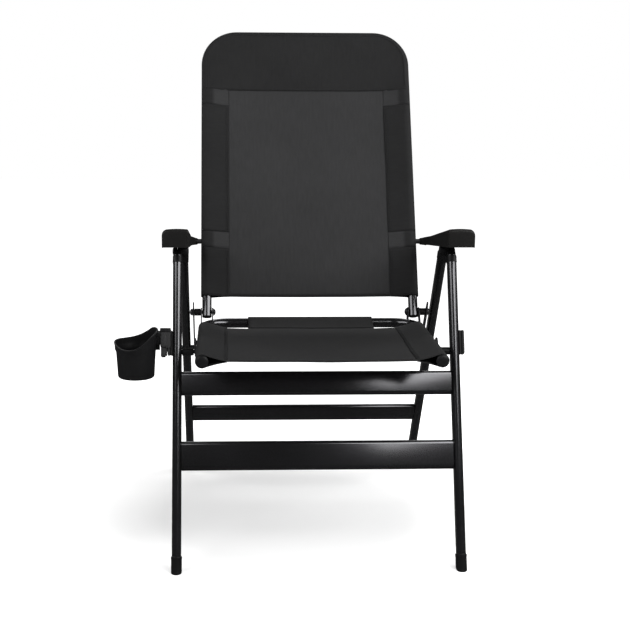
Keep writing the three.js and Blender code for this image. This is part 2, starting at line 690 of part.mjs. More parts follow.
// Toothed bar under the top of the arm rest; the leg head catches between two teeth.
function armRack() {
  const outline = [onRack(RACK_SPAN[0], RACK_TOP), onRack(RACK_SPAN[1], RACK_TOP)];
  for (let u = RACK_SPAN[1]; u > RACK_SPAN[0] + 1; u -= RACK_TOOTH) {
    outline.push(onRack(u, RACK_UNDERSIDE));
    outline.push(onRack(u - 3, RACK_UNDERSIDE));
    outline.push(onRack(u - 5, RACK_UNDERSIDE + RACK_NOTCH));
    outline.push(onRack(u - RACK_TOOTH + 1, RACK_UNDERSIDE + RACK_NOTCH));
  }
  return sidePiece(polygonShape(outline), ...RACK_LANE);
}

function armPivotBolt() {
  return joined(
    rod(ARM_PIVOT, BOLT_RADIUS, ARM_BOLT.start, ARM_BOLT.end),
    rod(ARM_PIVOT, ARM_BOLT.head, ARM_BOLT.start, BACK_RAIL_X - BACK_TUBE_RADIUS - GAP),
    rod(ARM_PIVOT, ARM_BOLT.spacer, BACK_RAIL_X + BACK_TUBE_RADIUS + GAP, ARM_LANE[0] - GAP),
  );
}

// ---------------------------------------------------------------- brackets and cup holder

const BRACKET_W = BRACKET_Z.map((z) => upLegAtHeight(FRONT_LEG, z));
const BRACKET_FACE = LEG_WIDTH / 2 + GAP;

// A box in the front leg's own axes: x outwards from its centre, d backwards, w up.
function legBlock(xRange, dRange, wRange) {
  return block(xRange, dRange, wRange).applyMatrix4(FRONT_LEG.matrix);
}

// T-shaped rail on the outside of a front leg that accessories slide down over.
function accessoryBracket() {
  const reach = BRACKET_DEPTH / 2;
  const web = legBlock([BRACKET_FACE, BRACKET_FACE + 6], [-6, 6], BRACKET_W);
  const pad = legBlock([BRACKET_FACE, BRACKET_FACE + 2.5], [-9, 9], BRACKET_W);
  const flangeRange = [BRACKET_FACE + 5.5, BRACKET_FACE + BRACKET_THICKNESS];
  const flange = legBlock(flangeRange, [-reach, reach], BRACKET_W);
  return joined(pad, web, flange);
}

function cupClip() {
  const top = BRACKET_W[1] + 4;
  const bottom = BRACKET_W[0] + 14;
  const reach = BRACKET_DEPTH / 2;
  const outer = BRACKET_FACE + BRACKET_THICKNESS;
  const face = outer + CLIP_DEPTH;
  const body = legBlock([BRACKET_FACE + 3.5, face], [-reach - 4, reach + 4], [bottom, top]);
  const tongue = legBlock([outer + 4, face], [-reach, reach], [BRACKET_W[0] - 3, bottom + 1]);
  const slot = legBlock([BRACKET_FACE + 4.9, outer + 0.6], [-reach - 0.6, reach + 0.6], [0, top - 3.4]);
  const mouth = legBlock([BRACKET_FACE, BRACKET_FACE + 5.5], [-6.6, 6.6], [0, top - 3.4]);
  return cut(joined(body, tongue), slot, mouth);
}

// Tapered cup whose rim dips at the front and rises to a tab beside the clip.
function cup() {
  const middle = (CUP_FOOT_RADIUS + CUP_TOP_RADIUS) / 2;
  const profile = [
    [0, 0], [CUP_FOOT_RADIUS - 3, 0], [CUP_FOOT_RADIUS, 3], [middle, CUP_HEIGHT / 2],
    [CUP_TOP_RADIUS, CUP_HEIGHT], [CUP_TOP_RADIUS - CUP_WALL, CUP_HEIGHT],
    [middle - CUP_WALL, CUP_HEIGHT / 2], [CUP_FOOT_RADIUS - CUP_WALL, 5],
    [CUP_FOOT_RADIUS - CUP_WALL - 3, CUP_WALL], [0, CUP_WALL],
  ];
  const shell = new THREE.LatheGeometry(profile.map(([r, h]) => new THREE.Vector2(r, h)), 24)
    .rotateX(Math.PI / 2);
  const rim = new THREE.Shape();
  rim.moveTo(-70, 84);
  rim.quadraticCurveTo(-12, 52, 28, 92);
  rim.quadraticCurveTo(36, 102, 60, 101);
  rim.lineTo(60, 160);
  rim.lineTo(-70, 160);
  rim.closePath();
  const trimmer = extruded(rim, 160, 9)
    .rotateX(Math.PI / 2)
    .translate(0, 80, 0)
    .rotateX(CUP_RIM_TILT);
  const [y] = onLeg(FRONT_LEG, 0, (BRACKET_W[0] + BRACKET_W[1]) / 2);
  const seat = new THREE.Matrix4().makeTranslation(-CUP_X, y, CUP_FLOOR_Z);
  return cut(shell, trimmer).applyMatrix4(seat);
}

// Arm that joins the cup to its clip.
function cupNeck() {
  const across = [
    NECK.start - CUP_X,
    -(FRONT_LEG_X + BRACKET_FACE + BRACKET_THICKNESS + CLIP_DEPTH + GAP),
  ];
  const [y] = onLeg(FRONT_LEG, 0, (BRACKET_W[0] + BRACKET_W[1]) / 2);
  const arm = joined(
    block(across, [y - NECK.halfWidth, y + NECK.halfWidth], NECK.lower),
    block(across, [y - NECK.upperHalfWidth, y + NECK.upperHalfWidth], NECK.upper),
  );
  const inside = new THREE.CylinderGeometry(CUP_TOP_RADIUS + 0.6, CUP_TOP_RADIUS + 0.6, 300, 24)
    .rotateX(Math.PI / 2)
    .translate(-CUP_X, y, CUP_FLOOR_Z);
  return cut(arm, inside);
}

// ---------------------------------------------------------------- assembly

const chair = new THREE.Group();

function add(name, geometry, material) {
  const mesh = new THREE.Mesh(geometry, material);
  mesh.name = name;
  chair.add(mesh);
}

function addPair(name, geometry, material) {
  add(`${name}_right`, geometry, material);
  add(`${name}_left`, mirrored(geometry), material);
}

function addFrontFrame() {
  const boltHole = rod(SEAT_PIVOT, BOLT_RADIUS + GAP, 250, 320);
  addPair("front_leg", legTube(FRONT_LEG, [boltHole]), ANODISED);
  addPair("front_foot", legFoot(FRONT_LEG), MOULDED);
  addPair("front_leg_head", frontHead(), MOULDED);
  const halfSpan = FRONT_LEG_X - LEG_WIDTH / 2 - GAP;
  add("upper_front_crossbar", crossbar(FRONT_LEG, UPPER_BAR, halfSpan), ANODISED);
  add("lower_front_crossbar", crossbar(FRONT_LEG, LOWER_BAR, halfSpan), ANODISED);
  addPair("accessory_bracket", accessoryBracket(), GREY_MOULDED);
  addPair("seat_pivot_bolt", seatPivotBolt(), STEEL);
  addPair("seat_pivot_spacer", seatPivotSpacer(), MOULDED);
}

function addRearFrame() {
  const pinHole = rod(LINK_PIVOT, PIN_HOLE_RADIUS, 250, 320);
  addPair("rear_leg", legTube(REAR_LEG, [pinHole]), ANODISED);
  addPair("rear_foot", legFoot(REAR_LEG), MOULDED);
  addPair("rear_leg_head", rearHead(), MOULDED);
  addPair("apex_pin", apexPin(), STEEL);
  addPair("link_pin", linkPin(), STEEL);
  add("rear_crossbar", crossbar(REAR_LEG, REAR_BAR, REAR_LEG_X - LEG_WIDTH / 2 - GAP), ANODISED);
}

function addSeat() {
  add("seat_frame", seatFrame(), ANODISED);
  addPair("seat_end_cap", seatEndCap(), MOULDED);
  addPair("seat_pivot_bracket", seatPivotBracket(), STEEL);
  addPair("hinge_plate_inner", hingePlate(INNER_PLATE_LANE, [92, 112]), STEEL);
  addPair("hinge_plate_outer", hingePlate(OUTER_PLATE_LANE, [72, 92]), STEEL);
  add("seat_sling", seatSling(), SEAT_CLOTH);
}

function addBack() {
  addPair("back_hinge_bolt", backHingeBolt(), STEEL);
  addPair("back_hinge_spacer", backHingeSpacer(), MOULDED);
  add("back_frame", backFrame(), ANODISED);
  addPair("back_tube_plug", backTubePlug(), MOULDED);
  add("back_sling", backSling(), BACK_CLOTH);
}

function addLinksAndArms() {
  addPair("lock_link", lockLink(), STEEL);
  addPair("link_rivet", linkRivet(), STEEL);
  addPair("arm_pivot_bolt", armPivotBolt(), STEEL);
  addPair("armrest", armrest(), MOULDED);
  addPair("armrest_rack", armRack(), GREY_MOULDED);
}

function addCupHolder() {
  add("cup", cup(), MOULDED);
  add("cup_neck", cupNeck(), MOULDED);
  add("cup_clip", mirrored(cupClip()), GREY_MOULDED);
}

addFrontFrame();
addRearFrame();
addSeat();
addBack();
addLinksAndArms();
addCupHolder();

const box = new THREE.Box3().setFromObject(chair);
chair.position.set(-(box.min.x + box.max.x) / 2, -(box.min.y + box.max.y) / 2, 0);
chair.updateMatrixWorld(true);

export default chair;
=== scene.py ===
import json
from math import acos, asin, atan2, copysign, cos, dist, hypot, pi, radians, sin, sqrt, tan

import bmesh
import bpy
import numpy as np
from mathutils import Matrix, Vector

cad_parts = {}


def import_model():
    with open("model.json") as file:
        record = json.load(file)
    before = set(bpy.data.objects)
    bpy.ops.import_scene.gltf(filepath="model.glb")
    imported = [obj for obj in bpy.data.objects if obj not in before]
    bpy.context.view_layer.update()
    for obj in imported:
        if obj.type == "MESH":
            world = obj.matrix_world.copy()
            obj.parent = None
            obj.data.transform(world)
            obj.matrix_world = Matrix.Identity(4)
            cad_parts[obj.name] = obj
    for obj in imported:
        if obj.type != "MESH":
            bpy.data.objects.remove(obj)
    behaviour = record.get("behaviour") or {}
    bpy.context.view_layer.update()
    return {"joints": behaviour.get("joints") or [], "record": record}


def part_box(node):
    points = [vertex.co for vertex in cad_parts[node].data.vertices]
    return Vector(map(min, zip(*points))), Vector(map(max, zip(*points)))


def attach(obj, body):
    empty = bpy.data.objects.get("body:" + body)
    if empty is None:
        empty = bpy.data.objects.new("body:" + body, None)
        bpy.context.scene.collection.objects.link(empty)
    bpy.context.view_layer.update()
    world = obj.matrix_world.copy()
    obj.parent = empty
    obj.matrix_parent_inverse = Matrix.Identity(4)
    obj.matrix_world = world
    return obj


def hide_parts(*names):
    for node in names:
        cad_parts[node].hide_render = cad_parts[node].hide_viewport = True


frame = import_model()

# Lengths are millimetres in the chair's own frame until a mesh is made: X = 0 is the plane of
# symmetry, Y = 0 the axis on which the front and rear legs are pinned, Z = 0 the floor.
MM = 0.001
RECORD = frame["record"]
JOINT = {joint["name"]: joint for joint in frame["joints"]}
ORIGIN = Vector((JOINT["fold"]["pos_m"][0], JOINT["fold"]["pos_m"][1], 0.0))
BODY_OF = {n: body for body, nodes in RECORD["behaviour"]["bodies"].items() for n in nodes}
SLOT_OF = {part["node"]: part["material_slot"] for part in RECORD["subparts"]}


def to_row(point):
    return ORIGIN + Vector(point) * MM


def from_row(point):
    return (Vector(point) - ORIGIN) / MM


def pivot(joint):
    """A hinge axis as [Y, Z] in the side view."""
    place = from_row(JOINT[joint]["pos_m"])
    return (place.y, place.z)


def extent(node, axis):
    """Lowest and highest value of a CAD node along X, Y or Z."""
    low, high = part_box(node)
    return (from_row(low)[axis], from_row(high)[axis])


# ---------------- driving dimensions

APEX = pivot("fold")
SEAT_PIVOT = pivot("seat_fold")
BACK_HINGE = pivot("hinge_fold")
LINK_PIVOT = pivot("link_fold_right")
ARM_PIVOT = pivot("arm_fold_right")

FRONT_FOOT_Y = -248.0
REAR_FOOT_Y = 427.0
LEG_WIDTH = 19.0
LEG_DEPTH = 28.0
FRONT_LEG_X = sum(extent("front_leg_right", 0)) / 2
REAR_LEG_X = sum(extent("rear_leg_right", 0)) / 2
FRONT_AXIS_OFFSET = 18.5
REAR_AXIS_OFFSET = -15.0
FOOT_HEIGHT = 32.0
FOOT_SKIN = 1.3

# Crossbars: height of the middle, width across the legs' axis and thickness.
LOWER_BAR = (219.5, 60.0, 17.0)
UPPER_BAR = (359.5, 50.0, 17.0)
REAR_BAR = (180.0, 50.0, 15.0)

SEAT_RAIL_X = 235.7
SEAT_RAIL_Z = 440.0
SEAT_TUBE = 11.0
SEAT_FRONT_Y = -262.0
SEAT_BOW_Y = 120.0
SEAT_BEND = 55.0

BACK_RAIL_X = 231.0
BACK_TUBE = 10.5
BACK_LEAN = radians(26)
BACK_HEIGHT = 673.0
BACK_BEND = 70.0
BACK_TAIL = 10.0

SLEEVE_EXTRA = 2.3
SLEEVE_REACH = 48.0
SEAT_SLEEVE_END = 66.0
BOW_SLEEVE_HALF = 139.0
BACK_SLING_START = 36.0
ARM_CUTOUT = (150.0, 187.0)
SIDE_SLEEVE_TOP = 500.0
SIDE_SLEEVES = ((BACK_SLING_START, ARM_CUTOUT[0]), (ARM_CUTOUT[1], SIDE_SLEEVE_TOP))
POCKET_START = 538.0
PANEL_TUCK = 12.0

BOLT = 4.0
GAP = 0.3

# Lanes: the ranges along X that plates take up, from the middle of the chair outwards.
INNER_PLATE_X = (217.3, 219.8)
OUTER_PLATE_X = (242.2, 244.7)
SEAT_BRACKET_X = (250.6, 254.1)
LINK_X = (259.0, 262.0)
REAR_HEAD_X = (268.2, 290.2)
RACK_X = (271.0, 298.0)
FRONT_BODY_X = (281.2, 292.0)
FRONT_LUG_X = (291.0, 299.0)


def new_object(name, data):
    obj = bpy.data.objects.new(name, data)
    bpy.context.scene.collection.objects.link(obj)
    return obj


# ---------------- outlines

def turn(count, start=0.0, span=2 * pi):
    return [start + span * i / count for i in range(count)]


def quarter(steps, first=1):
    """The angles that divide a right angle into that many steps."""
    return [k / steps * pi / 2 for k in range(first, steps + 1)]


def divided(low, high, count):
    """The values that divide a range into count equal steps, with both ends."""
    return [low + (high - low) * k / count for k in range(count + 1)]


def spaced(low, high, pitch):
    """The range divided into steps as close to the pitch as fit."""
    return divided(low, high, max(1, round((high - low) / pitch)))


def circle(centre, radius, count=48):
    return [(centre[0] + radius * cos(a), centre[1] + radius * sin(a)) for a in turn(count)]


def stadium(width, length, count=48):
    """Flat oval with round ends; width runs along the first axis and is the smaller."""
    reach = (length - width) / 2
    points = []
    for a in turn(count, pi / count):
        shift = copysign(reach, sin(a))
        points.append((width / 2 * cos(a), width / 2 * sin(a) + shift))
    return points


def hull(points):
    """Convex outline round some points."""
    ordered = sorted(set(points))

    def half(sequence):
        kept = []
        for p in sequence:
            while len(kept) > 1 and cross(kept[-2], kept[-1], p) <= 0:
                kept.pop()
            kept.append(p)
        return kept[:-1]

    return half(ordered) + half(ordered[::-1])


def cross(a, b, c):
    return (b[0] - a[0]) * (c[1] - a[1]) - (b[1] - a[1]) * (c[0] - a[0])


def rounded(outline, radius, steps=5):
    """The outline with its corners rounded off."""
    result = []
    for i, corner in enumerate(outline):
        ends = []
        for other in (outline[i - 1], outline[(i + 1) % len(outline)]):
            away = Vector(other) - Vector(corner)
            ends.append(Vector(corner) + away.normalized() * min(radius, away.length * 0.45))
        for t in divided(0.0, 1.0, steps):
            mixed = ends[0] * (1 - t) ** 2 + Vector(corner) * 2 * t * (1 - t) + ends[1] * t ** 2
            result.append(tuple(mixed))
    return result


def box_outline(low_a, high_a, low_b, high_b, radius=1.0):
    corners = [(low_a, low_b), (high_a, low_b), (high_a, high_b), (low_a, high_b)]
    return rounded(corners, radius)


def anticlockwise(outline):
    area = sum(a[0] * b[1] - b[0] * a[1] for a, b in zip(outline, outline[1:] + outline[:1]))
    return outline if area > 0 else outline[::-1]


def inset(outline, amount):
    """The outline moved inwards by the same amount all round."""
    result = []
    for i, point in enumerate(outline):
        before = (Vector(point) - Vector(outline[i - 1])).normalized()
        after = (Vector(outline[(i + 1) % len(outline)]) - Vector(point)).normalized()
        first = Vector((-before.y, before.x))
        second = Vector((-after.y, after.x))
        share = amount / max(0.4, 1 + first.dot(second))
        result.append(tuple(Vector(point) + (first + second) * share))
    return result


# ---------------- shapes, as (points, faces)

def loft(rings, round_rings=True):
    """Skin over a row of rings, closed at both ends; round_rings joins a ring's last point to its first."""
    count = len(rings[0])
    points = [tuple(p) for ring in rings for p in ring]
    faces = []
    for row in range(len(rings) - 1):
        for i in range(count if round_rings else count - 1):
            a = row * count + i
            b = row * count + (i + 1) % count
            faces.append((a, b, b + count, a + count))
    faces.append(tuple(reversed(range(count))))
    faces.append(tuple(range(len(points) - count, len(points))))
    return points, faces


def merged(*shapes):
    points, faces = [], []
    for more_points, more_faces in shapes:
        start = len(points)
        points += more_points
        faces += [tuple(i + start for i in face) for face in more_faces]
    return points, faces


def mirrored(shape):
    return [(-x, y, z) for x, y, z in shape[0]], [tuple(reversed(face)) for face in shape[1]]


def plate(outline, lane, edge=0.5):
    """An outline in the side view made as thick as a lane along X, with rounded edges."""
    ring = anticlockwise(outline)
    start, end = lane
    steps = [(start, edge), (start + 0.3 * edge, 0.3 * edge), (start + edge, 0.0)]
    steps += [(end - edge, 0.0), (end - 0.3 * edge, 0.3 * edge), (end, edge)]
    return loft([[(x, *p) for p in inset(ring, amount)] for x, amount in steps])


ROUND = 40


def turned(axis, profile):
    """A turned part on an axis along X; profile is [x, radius]."""
    return loft([[(x, *p) for p in circle(axis, radius, ROUND)] for x, radius in profile])


def rod(axis, radius, start, end, edge=0.4):
    profile = [(start, radius - edge), (start + edge, radius), (end - edge, radius), (end, radius - edge)]
    return turned(axis, profile)


def domed(axis, radius, base, tip):
    """A rivet or bolt head whose dome points from base to tip."""
    height = tip - base
    profile = [(base, radius), (base + height * 0.35, radius)]
    for a in quarter(6):
        profile.append((base + height * (0.35 + 0.65 * sin(a)), max(0.15, radius * cos(a))))
    return turned(axis, profile)


def pipe(path, radius, normal):
    """A round tube along a flat path whose plane has that normal."""
    rings = []
    for i, centre in enumerate(path):
        along = (path[min(i + 1, len(path) - 1)] - path[max(i - 1, 0)]).normalized()
        side = along.cross(normal)
        rings.append([centre + (side * cos(a) + normal * sin(a)) * radius for a in turn(ROUND)])
    return loft(rings)


def u_path(side, low, high, radius, place):
    """Centre line of a U: up one side, round two corners and down the other."""
    half = [place(side, along) for along in divided(low, high - radius, 8)]
    for a in quarter(20):
        half.append(place(side - radius + radius * cos(a), high - radius + radius * sin(a)))
    others = [Vector((-p.x, p.y, p.z)) for p in reversed(half)]
    return half + others


# ---------------- legs

def leg_outline(grow):
    return stadium(LEG_WIDTH + 2 * grow, LEG_DEPTH + 2 * grow)


class Leg:
    """A leg stands on its floor point; w runs up its axis and d backwards across it."""

    def __init__(self, foot_y, apex_offset, x):
        reach = hypot(foot_y, APEX[1])
        self.foot_y = foot_y
        self.x = x
        self.inner = x - LEG_WIDTH / 2 - GAP
        self.outer = x + LEG_WIDTH / 2 + GAP
        self.offset = apex_offset
        self.lean = atan2(-foot_y, APEX[1]) - asin(apex_offset / reach)
        self.apex_up = sqrt(reach ** 2 - apex_offset ** 2)

    def at(self, d, w):
        y = self.foot_y + d * cos(self.lean) + w * sin(self.lean)
        return (y, w * cos(self.lean) - d * sin(self.lean))

    def up(self, z, d=0.0):
        """How far up the leg the height z is."""
        return (z + d * sin(self.lean)) / cos(self.lean)

    def ring(self, w, grow):
        """The leg's outline, cut square to its axis at w."""
        return [(self.x + a, *self.at(d, w)) for a, d in leg_outline(grow)]

    def level_ring(self, z, grow):
        """The leg's outline, cut level at the height z."""
        return [(self.x + a, *self.at(d, self.up(z, d))) for a, d in leg_outline(grow)]

    def from_apex(self, corners):
        """Outline from [d, s] points: d behind the apex and s below it, along the leg."""
        return [self.at(d + self.offset, self.apex_up - s) for d, s in corners]


FRONT = Leg(FRONT_FOOT_Y, FRONT_AXIS_OFFSET, FRONT_LEG_X)
REAR = Leg(REAR_FOOT_Y, REAR_AXIS_OFFSET, REAR_LEG_X)


def leg_tube(leg, top_gap):
    bottom = leg.up(2.5) + abs(tan(leg.lean)) * LEG_DEPTH / 2
    top = leg.apex_up - top_gap
    return loft([leg.ring(w, 0.0) for w in divided(bottom, top, 12)])


def foot(leg):
    """Plastic cap with a raised ring round its mouth and a sole cut flat by the floor."""
    lower = [leg.level_ring(0.0, FOOT_SKIN - 1.0), leg.level_ring(1.0, FOOT_SKIN)]
    steps = [(-6.0, 0.0), (-5.2, 0.3), (-4.4, 0.4), (-2.4, 0.4), (-1.2, 0.3), (-0.4, -0.2)]
    upper = [leg.ring(FOOT_HEIGHT + s, FOOT_SKIN + g) for s, g in steps]
    mouth = [leg.ring(FOOT_HEIGHT, FOOT_SKIN - 0.9), leg.ring(FOOT_HEIGHT, 0.15)]
    return loft(lower + upper + mouth)


def socket(leg, top, bottom):
    """Moulded collar of a leg head round the end of its tube; top and bottom are below the apex."""
    steps = [(bottom, 0.15), (bottom - 0.3, 0.6), (bottom - 1.0, 0.8), (bottom - 3.0, 0.8)]
    steps += [(bottom - 3.6, 0.5), (top + 3.0, 0.5), (top + 1.0, 0.0), (top, -1.4)]
    return loft([leg.ring(leg.apex_up - s, g) for s, g in steps])


def front_head():
    lug = hull(circle(APEX, 13.0) + FRONT.from_apex([(-25.0, 18), (-22.0, 7), (-10, -4), (-8, 26)]))
    relief = [(-14.2 * cos(a), 14.2 * sin(a)) for a in turn(8, 0.17, 1.3)]
    body = FRONT.from_apex([(-26.0, 27), (-26.0, 12), (-17, 2)] + relief + [(-3, 27)])
    return merged(
        plate(lug, FRONT_LUG_X, 2.4),
        plate(body, FRONT_BODY_X, 1.4),
        plate(circle(APEX, 9.4), (FRONT_LUG_X[1] - 0.4, FRONT_LUG_X[1] + 0.6)),
        socket(FRONT, 13.5, 29.0),
    )


def rear_head():
    body = hull(REAR.from_apex([(-0.2, 33), (-0.2, 0), (13, 6), (20, 16), (20, 33)]))
    return merged(
        plate(circle(APEX, 13.0), REAR_HEAD_X, 1.6),
        plate(body, REAR_HEAD_X, 1.6),
        socket(REAR, 20.0, 36.0),
    )


def apex_pin():
    return merged(
        rod(APEX, BOLT, 267.0, 300.0),
        domed(APEX, 7.0, 299.4, 301.6),
        domed(APEX, 7.0, 268.1, 266.9),
    )


def crossbar(leg, bar):
    z, width, thickness = bar
    outline = [leg.at(a, leg.up(z) + b) for a, b in stadium(thickness, width, 72)]
    return plate(outline, (-leg.inner, leg.inner), 0.4)


def build_legs():
    pair("front_leg", leg_tube(FRONT, 14.0))
    pair("rear_leg", leg_tube(REAR, 24.0))
    pair("front_foot", foot(FRONT))
    pair("rear_foot", foot(REAR))
    pair("front_leg_head", front_head())
    pair("rear_leg_head", rear_head())
    pair("apex_pin", apex_pin())
    one("upper_front_crossbar", crossbar(FRONT, UPPER_BAR))
    one("lower_front_crossbar", crossbar(FRONT, LOWER_BAR))
    one("rear_crossbar", crossbar(REAR, REAR_BAR))


# ---------------- seat and back tubes

def on_back(up, out=0.0):
    """Side-view point of the back: up along its tubes, out towards the sitter."""
    y = BACK_HINGE[0] + up * sin(BACK_LEAN) - out * cos(BACK_LEAN)
    return (y, BACK_HINGE[1] + up * cos(BACK_LEAN) + out * sin(BACK_LEAN))


BACK_FRONT = Vector((0, -cos(BACK_LEAN), sin(BACK_LEAN)))


def seat_place(x, y):
    return Vector((x, y, SEAT_RAIL_Z))


def back_place(x, up):
    return Vector((x, *on_back(up)))


def end_plug(centre, axis, radius, rim, dome, depth):
    """Domed plug in the open end of a tube, pointing along axis."""
    side = Vector((1, 0, 0))
    other = axis.cross(side)
    profile = [(-depth, radius - 2.4), (0.2, radius - 2.4), (0.3, rim - 0.5), (0.8, rim)]
    profile.append((0.8 + dome * 0.25, rim))
    for a in quarter(7):
        profile.append((0.8 + dome * (0.25 + 0.7 * sin(a)), max(0.2, rim * cos(a) ** 0.8)))
    spokes = [side * cos(a) + other * sin(a) for a in turn(ROUND)]
    return loft([[centre + axis * h + spoke * r for spoke in spokes] for h, r in profile])


def build_tubes():
    seat_path = u_path(SEAT_RAIL_X, SEAT_FRONT_Y, SEAT_BOW_Y, SEAT_BEND, seat_place)
    one("seat_frame", pipe(seat_path, SEAT_TUBE, Vector((0, 0, 1))))
    back_path = u_path(BACK_RAIL_X, -BACK_TAIL, BACK_HEIGHT, BACK_BEND, back_place)
    one("back_frame", pipe(back_path, BACK_TUBE, BACK_FRONT))
    forwards = Vector((0, -1, 0))
    front = seat_place(SEAT_RAIL_X, SEAT_FRONT_Y)
    pair("seat_end_cap", end_plug(front, forwards, SEAT_TUBE, SEAT_TUBE + 2, 7.0, 14.0))
    down = Vector((0, -sin(BACK_LEAN), -cos(BACK_LEAN)))
    tail = back_place(BACK_RAIL_X, -BACK_TAIL)
    pair("back_tube_plug", end_plug(tail, down, BACK_TUBE, BACK_TUBE, 2.0, 4.0))


# ---------------- hinges, links and bolts

def hinge_plate(lane, base):
    """A plate from the back hinge down to the seat tube; base is the range of Y that it stands on."""
    feet = [(y, SEAT_RAIL_Z + 2) for y in base]
    return plate(hull(circle(BACK_HINGE, 10.0) + feet), lane)


def seat_bracket():
    y = SEAT_PIVOT[0]
    outline = hull(circle(SEAT_PIVOT, 10.0) + circle((y, SEAT_RAIL_Z), 10.0))
    end = extent("seat_pivot_bracket_right", 0)[1]
    return merged(
        plate(outline, SEAT_BRACKET_X, 0.6),
        rod((y, SEAT_RAIL_Z), 5.0, SEAT_RAIL_X + 8, end, 0.6),
    )


def lock_link():
    """A flat link from the rear leg to the back hinge, with a finger tab past the hinge."""
    along = (Vector(BACK_HINGE) - Vector(LINK_PIVOT)).normalized()
    tab = Vector(BACK_HINGE) + along * 26.0
    lower = hull(circle(LINK_PIVOT, 9.0) + circle(BACK_HINGE, 9.0))
    beside = Vector((-along.y, along.x))
    base = [tuple(Vector(BACK_HINGE) + beside * s) for s in (-8.6, 8.6)]
    upper = hull(base + circle(tuple(tab), 4.0, 24))
    return merged(plate(lower, LINK_X), plate(upper, (LINK_X[0] + 0.1, LINK_X[1] - 0.1)))


def build_hinges():
    pair("hinge_plate_inner", hinge_plate(INNER_PLATE_X, (92, 112)))
    pair("hinge_plate_outer", hinge_plate(OUTER_PLATE_X, (72, 92)))
    pair("seat_pivot_bracket", seat_bracket())
    pair("seat_pivot_bolt", merged(
        rod(SEAT_PIVOT, BOLT, 248.0, FRONT.inner + GAP + 0.5),
        domed(SEAT_PIVOT, 6.2, 250.3, 247.2)))
    pair("seat_pivot_spacer", rod(SEAT_PIVOT, 8.0, 256.0, FRONT.inner, 0.9))
    pair("back_hinge_bolt", merged(
        rod(BACK_HINGE, BOLT, 214.0, 258.6),
        rod(BACK_HINGE, 8.0, 214.2, 217.0, 0.5),
        domed(BACK_HINGE, 6.0, 214.4, 211.5)))
    pair("back_hinge_spacer", rod(BACK_HINGE, 8.0, 245.0, 258.6, 0.9))
    pair("lock_link", lock_link())
    pair("link_rivet", domed(BACK_HINGE, 7.5, 262.3, 268.9))
    pair("link_pin", merged(
        rod(LINK_PIVOT, 3.0, 257.0, 291.0),
        domed(LINK_PIVOT, 5.5, 258.7, 256.6),
        rod(LINK_PIVOT, 5.5, 262.4, REAR.inner, 0.5),
        domed(LINK_PIVOT, 5.0, REAR.outer, 291.5)))
    pair("arm_pivot_bolt", merged(
        rod(ARM_PIVOT, BOLT, 218.0, 300.0),
        domed(ARM_PIVOT, 7.0, 220.2, 216.5),
        turned(ARM_PIVOT, [(241.8, 4.6), (242.3, 5.2), (247.0, 5.5), (263.2, 6.5)])))


# ---------------- arm rests

# Top and bottom edges are lines through two points [Y, Z]; shoulders are the radii of the inner and
# the outer top edge; nose and tail are the radii of the fillets at the front and rear ends.
ARM_X = (263.5, 317.5)
ARM_Y = (-134.0, 204.6)
ARM_TOP = ((205.0, 620.5), (-133.0, 683.7))
ARM_BOTTOM = ((197.0, 607.5), (-117.0, 643.8))
ARM_SHOULDERS = (4.0, 12.0)
ARM_WALL = 3.0
ARM_CROWN = 0.9
ARM_NOSE = {"top": 7.0, "bottom": 0.3, "side": 2.0}
ARM_TAIL = {"top": 9.0, "bottom": 6.0, "side": 7.0}
ARM_FLARE = 8.0
ARM_FLARE_RANGE = (105.0, 165.0)
ARM_RIBS = (-92.0, 90.0, 123.0)


def on_line(line, y):
    (y0, z0), (y1, z1) = line
    return z0 + (z1 - z0) * (y - y0) / (y1 - y0)


def end_drop(distance, radius):
    """How far a fillet has come in, at that distance from the end of the piece."""
    short = max(0.0, radius - distance)
    return radius - sqrt(max(0.0, radius ** 2 - short ** 2))


def inward_flare(y):
    """How far the rear of an arm rest widens inwards, towards the back tube."""
    share = (y - ARM_FLARE_RANGE[0]) / (ARM_FLARE_RANGE[1] - ARM_FLARE_RANGE[0])
    share = min(1.0, max(0.0, share))
    return ARM_FLARE * share * share * (3.0 - 2.0 * share)


def arm_section(y):
    """Open section of the arm rest: up the inner side, over the top and down the outer side."""
    from_end = min(y - ARM_Y[0], ARM_Y[1] - y)
    end = ARM_NOSE if y < 0 else ARM_TAIL
    narrow = end_drop(from_end, end["side"])
    top = on_line(ARM_TOP, y) - end_drop(from_end, end["top"])
    bottom = on_line(ARM_BOTTOM, y) + end_drop(from_end, end["bottom"])
    bottom = min(bottom, top - 3.0)
    x0, x1 = ARM_X[0] - inward_flare(y) + narrow, ARM_X[1] - narrow
    inner, outer = [min(r, (top - bottom) * 0.45) for r in ARM_SHOULDERS]
    points = [(x0, y, z) for z in divided(bottom, top - inner, 4)[:-1]]
    for a in quarter(6, 0):
        points.append((x0 + inner * (1 - cos(a)), y, top - inner * (1 - sin(a))))
    for t in divided(0.0, 1.0, 6)[1:-1]:
        x = x0 + inner + (x1 - outer - x0 - inner) * t
        points.append((x, y, top + ARM_CROWN * 4 * t * (1 - t)))
    for a in quarter(8, 0):
        points.append((x1 - outer * (1 - sin(a)), y, top - outer * (1 - cos(a))))
    return points + [(x1, y, z) for z in divided(top - outer, bottom, 4)[1:]]


def arm_stations():
    ends = [0.0, 0.15, 0.6, 1.4, 2.6, 4.2, 6.2, 8.6, 12.0]
    front = [ARM_Y[0] + e for e in ends]
    rear = [ARM_Y[1] - e for e in reversed(ends)]
    return front + divided(front[-1], rear[0], 12)[1:-1] + rear


